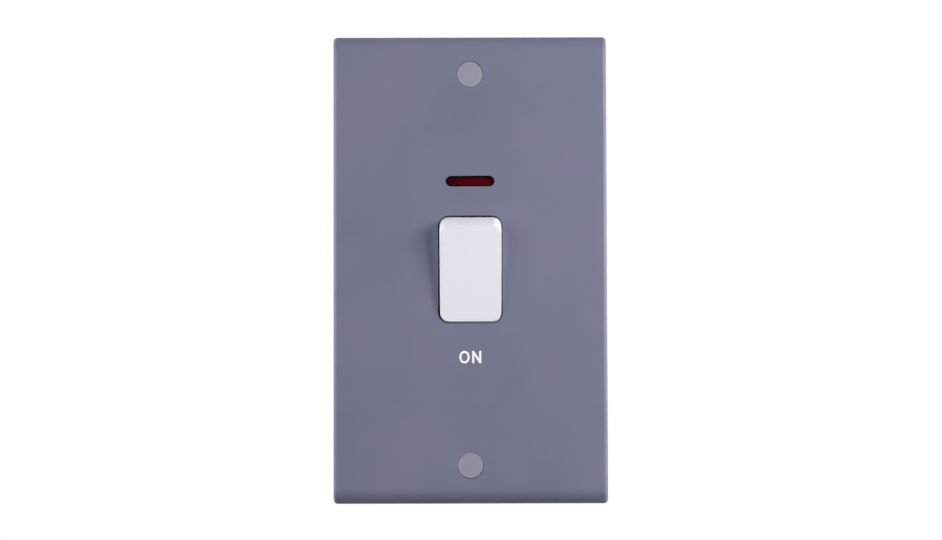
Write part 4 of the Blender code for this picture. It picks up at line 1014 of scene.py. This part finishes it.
screwKinds = {
    "terminal": {"head": 0.003, "headHeight": 0.0014, "shank": 0.002,
                 "pitch": 0.0007, "slot": 0.0008},
    "clamp": {"head": 0.0026, "headHeight": 0.0016, "shank": 0.0013,
              "pitch": 0.0008, "slot": 0.0007},
    "earth": {"head": 0.0022, "headHeight": 0.0012, "shank": 0.0015,
              "pitch": 0.0005, "slot": 0.0006},
    "fixing": {"head": 0.0033, "headHeight": 0.002, "shank": 0.0017,
               "pitch": 0.0006, "slot": 0.0009},
}
screwShape = {
    "headEdge": 0.00025,
    "edgeBreak": 0.3,           # shares of it, at the face
    "underBreak": 0.4,          # and under the head
    "threadDepth": 0.13,        # shares of the shank's radius
    "tipLength": 0.6,
    "tip": 0.6,
    "slotDepth": 0.65,          # share of the head's height
    "slotHalfX": 0.006,
}


def makeScrew(kind, length):
    # head at y = 0 and looking along +Y, shank behind it, with a rolled thread
    size = screwKinds[kind]
    head, tall, shank, pitch = size["head"], size["headHeight"], size["shank"], size["pitch"]
    edge, root = screwShape["headEdge"], shank * (1 - screwShape["threadDepth"])
    out, under = edge * screwShape["edgeBreak"], edge * screwShape["underBreak"]
    profile = [(0, 0), (head - edge, 0), (head - out, -out), (head, -edge)]
    profile += [(head, -tall + under), (head - under, -tall), (shank, -tall)]
    y = -tall - pitch / 2
    while y > -length + shank * screwShape["tipLength"]:
        profile += [(shank, y), (root, y - pitch / 2)]
        y -= pitch
    profile += [(shank * screwShape["tip"], -length), (0, -length)]
    screw = addLathe("screw", profile, steps=40)
    halfX, half, depth = screwShape["slotHalfX"], size["slot"] / 2, tall * screwShape["slotDepth"]
    cut(screw, addBlock("driverSlot", (-halfX, halfX), (-depth, work["past"]), (-half, half)))
    smooth(screw, 40)
    return screw


def setScrews(kind, material, slotName, places, facing=1):
    # places: node and how far its slot is turned, in degrees
    # facing: 1 to the back, -1 to the front
    pattern = None
    for node, turned in places:
        low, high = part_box(node)
        if pattern is None:
            pattern = makeScrew(kind, high.y - low.y)
        piece = copyOf(pattern, node + "Turned")
        headY = high.y if facing > 0 else low.y
        turn = Matrix.Translation(((low.x + high.x) / 2, headY, (low.z + high.z) / 2))
        turn = turn @ Matrix.Rotation(math.radians(turned), 4, "Y")
        if facing < 0:
            turn = turn @ Matrix.Rotation(math.pi, 4, "X")
        piece.data.transform(turn)
        place(piece, material, "root", slotName, node)
    bpy.data.objects.remove(pattern)


def atBothEnds(kind):
    return [f"{end}_{kind}_{side}" for end in ("load", "supply") for side in ("left", "right")]


# no two slots stand alike: degrees from one screw to the next, within a pair, at the start
screwTurns = {"next": 47, "pair": 20, "clampStart": 25}

terminalScrews = []
for spot in atBothEnds("screw"):
    for k in (1, 2):
        turned = screwTurns["next"] * len(terminalScrews) + screwTurns["pair"] * k
        terminalScrews.append((f"{spot}_{k}", turned))
clampScrews = [
    (f"clamp_screw_{k}", screwTurns["clampStart"] + screwTurns["next"] * k) for k in (1, 2, 3, 4)
]
earthScrews = [("earth_screw_left", 30), ("earth_screw_right", 118)]
fixingScrews = [("fixing_screw_top", 8), ("fixing_screw_bottom", 62)]
setScrews("terminal", screwBrass, "screw_brass", terminalScrews)
setScrews("clamp", steel, "screw_steel", clampScrews)
setScrews("earth", screwBrass, "screw_brass", earthScrews)
setScrews("fixing", steel, "screw_steel", fixingScrews, facing=-1)
print("screws made")

# mouldings, terminals and strips in their CAD shape: width of their softened edges, finish, slot

softParts = [
    (["housing_base"], 0.00022, innerPlastic, "moulding_white"),
    (["rocker_cradle"], 0.00018, innerPlastic, "moulding_white"),
    (["earth_terminal", *atBothEnds("terminal")], 0.0003, brass, "terminal_brass"),
    (atBothEnds("strip"), 0.0001, copper, "copper_strip"),
    (["contact_bar_left", "contact_bar_right"], 0.00012, copper, "copper_strip"),
]

for nodes, width, material, slotName in softParts:
    for node in nodes:
        body = node if node.startswith("contact_bar") else "root"
        place(softened(node, width), material, body, slotName, node)
print("mouldings, terminals, strips and bars made")

# sprung plungers and contact buttons

plunger = {
    "radius": 0.00165,
    "tailRadius": 0.00095,
    "tail": 0.0005,
    "shoulder": 0.0018,
    "noseRadius": 0.0012,
    "noseCentre": 0.00993,
    "offset": 0.0047,
    "edge": 0.00015,
}
spring = {
    "wire": 0.000225,
    "coil": 0.001475,
    "start": -0.002475,
    "rise": 0.00375,
    "turns": 5,
    "travel": 0.0008,           # how far the plunger shortens it
    "wireSides": 12,
    "steps": 28,                # in one turn
}
button = {
    "radius": 0.00196,
    "thickness": 0.0008,
    "rim": 0.00005,
    "crown": 0.00008,
    # low crown and rounded rim: shares of the radius and, going down, of the crown
    "curve": [(0, 0), (0.45, 0.2), (0.8, 1), (0.93, 1.8), (1, 3.5)],
}


def intoStem(piece, sign):
    # from the middle of the frame into its stem of the rocker
    piece.data.transform(Matrix.Translation((sign * plunger["offset"], pivot.y, 0)))
    tiltToRest(piece)


def makePlunger(side, sign):
    edge, radius, tailRadius = plunger["edge"], plunger["radius"], plunger["tailRadius"]
    tail, shoulder = plunger["tail"], plunger["shoulder"]
    nose, centre = plunger["noseRadius"], plunger["noseCentre"]
    profile = [(0, tail), (tailRadius - edge, tail), (tailRadius, tail + edge)]
    profile += [(tailRadius, shoulder), (radius - edge, shoulder)]
    profile += [(radius, shoulder + edge), (radius, centre - 2 * (radius - nose))]
    profile += arc(nose, centre, 10, 0, 89) + [(0, centre + nose)]
    body = addLathe("plungerTurned" + side.capitalize(), profile)
    intoStem(body, sign)
    smooth(body)
    return place(body, plungerPlastic, "plunger_" + side, "plunger_black", "plunger_" + side)


def windSpring(name):
    first = (spring["coil"], spring["start"], 0)
    bpy.ops.mesh.primitive_circle_add(
        vertices=spring["wireSides"], radius=spring["wire"], location=first
    )
    coil = settle(bpy.context.object, name)
    step = coil.modifiers.new("turns", "SCREW")
    step.axis = "Y"
    step.screw_offset = spring["rise"] / spring["turns"]
    step.iterations = spring["turns"]
    step.steps = spring["steps"]
    step.render_steps = spring["steps"]
    applyModifier(coil, step)
    startEdit(coil)
    selectAll()
    bpy.ops.mesh.remove_doubles(threshold=work["doubles"])
    selectAll()
    bpy.ops.mesh.fill_holes(sides=0)
    facePointOutwards()
    endEdit()
    return coil


def makeSpring(side, sign):
    coil = windSpring("springCoil" + side.capitalize())
    intoStem(coil, sign)
    smooth(coil, 50)
    place(coil, springSteel, "rocker", "spring_steel", "plunger_spring_" + side)
    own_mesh(coil)


def makeButton(node, body, turned):
    radius, thick, rim = button["radius"], button["thickness"], button["rim"]
    profile = [(radius * out, -button["crown"] * drop) for out, drop in button["curve"]]
    profile += [(radius, -thick + rim), (radius - rim, -thick), (0, -thick)]
    piece = addLathe(node + "Turned", profile)
    low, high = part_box(node)
    turn = Matrix.Translation((low + high) / 2) @ Matrix.Rotation(math.radians(turned), 4, "X")
    piece.data.transform(turn @ Matrix.Translation((0, thick / 2, 0)))
    smooth(piece)
    return place(piece, silver, body, "contact_silver", node)


for side, sign in (("left", -1), ("right", 1)):
    makePlunger(side, sign)
    makeSpring(side, sign)
    makeButton("fixed_contact_" + side, "root", 180)
    makeButton("moving_contact_" + side, "contact_bar_" + side, -rocker["tilt"])

# neon lamp and its resistor, both lying along X

lamp = {
    "radius": 0.0022,
    "half": 0.0046,
    "foot": 0.0011,             # pinched end, where the wires go in
    "footEdge": 0.0012,
    "footHeight": 0.0002,
    "footGap": 0.0001,
    "tip": 0.0002,              # sealed end, drawn to a point
    "tipEdge": 0.00034,
    "tipHeight": 0.0001,
    "tipGap": 0.0003,
    "footAngle": -56,           # where the bulb's rounds meet them, in degrees
    "tipAngle": 78,
}
resistor = {
    "radius": 0.0012,
    "half": 0.0032,
    "waist": 0.001,
    # rounded end: shares of the radius, outwards and inwards from the end
    "end": [(0.4, 0), (0.75, 0.12), (0.95, 0.4), (1, 0.75), (0.97, 1.1)],
    "waistFrom": 1.55,
    "tan": (196, 170, 128),
    "roughness": 0.4,
    # where each painted ring starts and ends along the body, as shares of its length
    "rings": [(0.14, 0.22, (150, 34, 26)), (0.32, 0.4, (92, 52, 120)),
              (0.5, 0.58, (214, 178, 40)), (0.78, 0.86, (168, 130, 58))],
}


def acrossX(piece, node):
    # lays a turned body along X in the middle of its CAD node
    low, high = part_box(node)
    turn = Matrix.Rotation(math.pi / 2, 4, "Z")
    piece.data.transform(Matrix.Translation((low + high) / 2) @ turn)
    smooth(piece, 40)
    return piece


def makeLamp():
    radius, half = lamp["radius"], lamp["half"]
    profile = [(0, -half), (lamp["foot"], -half), (lamp["footEdge"], -half + lamp["footHeight"])]
    profile += arc(radius, -half + radius + lamp["footGap"], 10, lamp["footAngle"], 0)
    profile += arc(radius, half - radius - lamp["tipGap"], 12, 0, lamp["tipAngle"])
    profile += [(lamp["tipEdge"], half - lamp["tipHeight"]), (lamp["tip"], half), (0, half)]
    body = acrossX(addLathe("lampBulb", profile), "neon_lamp")
    return place(body, lampGlass, "root", "lamp_glass", "neon_lamp")


def makeBands():
    # four painted rings on a tan body
    tan = colour(*resistor["tan"])
    material, tree, shader = newMaterial("resistorBands", tan, resistor["roughness"])
    across = splitPoint(tree, objectPoint(tree))["X"]
    along = mapRange(tree, across, 0, 1, -resistor["half"], resistor["half"])
    stops = [(0.0, tan)]
    for start, end, paint in resistor["rings"]:
        stops += [(start, colour(*paint)), (end, tan)]
    shade = ramp(tree, along, stops)
    shade.node.color_ramp.interpolation = "CONSTANT"
    tree.links.new(shade, shader.inputs["Base Color"])
    return material


def makeResistor():
    radius, half = resistor["radius"], resistor["half"]
    end = [(0, -half)]
    end += [(radius * out, -half + radius * inwards) for out, inwards in resistor["end"]]
    end += [(resistor["waist"], -half + radius * resistor["waistFrom"])]
    profile = end + [(r, -y) for r, y in reversed(end)]
    body = acrossX(addLathe("resistorBody", profile), "neon_resistor")
    return place(body, makeBands(), "root", "resistor_body", "neon_resistor")


makeLamp()
makeResistor()
print("plungers, springs, contacts, lamp and resistor made")

# a finish for every CAD node, by its slot

finishes = {
    "moulding_white": innerPlastic,
    "plunger_black": plungerPlastic,
    "resistor_body": resistorPaint,
    "terminal_brass": brass,
    "screw_brass": screwBrass,
    "copper_strip": copper,
    "contact_silver": silver,
    "screw_steel": steel,
    "lead_wire": steel,
    "spring_steel": springSteel,
    "lamp_glass": lampGlass,
    "plate_grey": greyPlastic,
    "rocker_white": whitePlastic,
    "cover_grey": coverPlastic,
    "lens_red": lensRed,
}

for subpart in frame["record"]["subparts"]:
    node = frame["nodes"][subpart["node"]]
    node.data.materials.clear()
    node.data.materials.append(finishes[subpart["material_slot"]])

# camera, light and ground

camera = {
    "distance": 0.4092,        # from the plate's face
    "lens": 50.79,
    "sensor": 36,
    "clip": (0.01, 20),
    "elevation": -1.3,         # degrees, a little below the plate's middle
    "roll": -0.146,
    "aimX": 0.00022,
    "aimZ": -0.00022,
}


def makeCamera():
    made = bpy.data.cameras.new("camera")
    made.sensor_width = camera["sensor"]
    made.lens = camera["lens"]
    made.clip_start, made.clip_end = camera["clip"]
    holder = bpy.data.objects.new("camera", made)
    bpy.context.scene.collection.objects.link(holder)
    lift = math.radians(camera["elevation"])
    aim = Vector((camera["aimX"], faceY, camera["aimZ"]))
    back = Vector((0, -math.cos(lift), math.sin(lift)))
    holder.location = aim + back * camera["distance"]
    facing = (-back).to_track_quat("-Z", "Y").to_matrix().to_4x4()
    facing = facing @ Matrix.Rotation(math.radians(camera["roll"]), 4, "Z")
    holder.rotation_euler = facing.to_euler()
    bpy.context.scene.camera = holder


# two big boxes give the face its level, the rims its bright side edges
lamps = {
    "rightBox": {"at": (0.46, -0.29, 0.1), "size": (0.28, 0.25), "power": 3.75},
    "leftBox": {"at": (-0.57, -0.36, 0.12), "size": (0.34, 0.3), "power": 3.0},
    "frontBox": {"at": (0.10, -1.0, 0.80), "size": (0.6, 0.3), "power": 0.5},
    "rightRim": {"at": (0.3, -0.002, 0.02), "size": (0.03, 0.16), "power": 0.58},
    "leftRim": {"at": (-0.3, -0.002, 0.02), "size": (0.03, 0.16), "power": 0.68},
    "backFill": {"at": (0.5, 1.3, 0.3), "size": (0.8, 0.8), "power": 4.6},
}


def makeLamps():
    for name, look in lamps.items():
        light = bpy.data.lights.new(name, "AREA")
        light.shape = "RECTANGLE"
        light.size, light.size_y = look["size"]
        light.energy = look["power"]
        holder = bpy.data.objects.new(name, light)
        holder.location = look["at"]
        holder.rotation_euler = (-Vector(look["at"])).to_track_quat("-Z", "Y").to_euler()
        bpy.context.scene.collection.objects.link(holder)


surround = {"diffuse": 0.05, "seen": 1.0}


def seenByEye(tree):
    # 1 for what the camera sees, straight, in a reflection or through glass
    path = tree.nodes.new("ShaderNodeLightPath").outputs
    either = joinMath(tree, "MAXIMUM", path["Is Camera Ray"], path["Is Glossy Ray"])
    return joinMath(tree, "MAXIMUM", either, path["Is Transmission Ray"])


def background(tree, strength):
    made = tree.nodes.new("ShaderNodeBackground")
    made.inputs["Color"].default_value = (1, 1, 1, 1)
    made.inputs["Strength"].default_value = strength
    return made.outputs[0]


def makeWorld():
    # white to the camera and in reflections, a faint grey as light
    world = bpy.data.worlds.new("surround")
    bpy.context.scene.world = world
    world.use_nodes = True
    tree = world.node_tree
    tree.nodes.clear()
    mix = tree.nodes.new("ShaderNodeMixShader")
    out = tree.nodes.new("ShaderNodeOutputWorld")
    tree.links.new(seenByEye(tree), mix.inputs[0])
    tree.links.new(background(tree, surround["diffuse"]), mix.inputs[1])
    tree.links.new(background(tree, surround["seen"]), mix.inputs[2])
    tree.links.new(mix.outputs[0], out.inputs["Surface"])


ground = {
    "level": -0.8,
    "front": -3.0,
    "back": 3.0,
    "side": 3.0,
    "paint": (236, 236, 238),
    "roughness": 0.8,
    "glow": (0.5, 0.9),        # how white it looks near the switch and far from it
    "glowAt": (1.0, 2.8),      # at these distances
}


def makeGround():
    # pale floor well below the switch, ending short of the photograph's view
    bpy.ops.mesh.primitive_plane_add(size=1)
    floor = bpy.context.object
    floor.name = "floor"
    depth = ground["back"] - ground["front"]
    floor.data.transform(Matrix.Diagonal((2 * ground["side"], depth, 1, 1)))
    middleY = (ground["front"] + ground["back"]) / 2
    floor.data.transform(Matrix.Translation((0, middleY, ground["level"])))
    paint = colour(*ground["paint"])
    material, tree, shader = newMaterial("floorPale", paint, ground["roughness"])
    shader.inputs["Emission Color"].default_value = (1, 1, 1, 1)
    distance = tree.nodes.new("ShaderNodeVectorMath")
    distance.operation = "LENGTH"
    tree.links.new(objectPoint(tree), distance.inputs[0])
    glow = mapRange(tree, distance.outputs["Value"], *ground["glow"], *ground["glowAt"])
    tree.links.new(multiply(tree, glow, seenByEye(tree)), shader.inputs["Emission Strength"])
    floor.data.materials.append(material)


makeCamera()
makeLamps()
makeWorld()
makeGround()
bpy.context.scene.view_settings.view_transform = "Standard"
print("camera, lights and ground made")
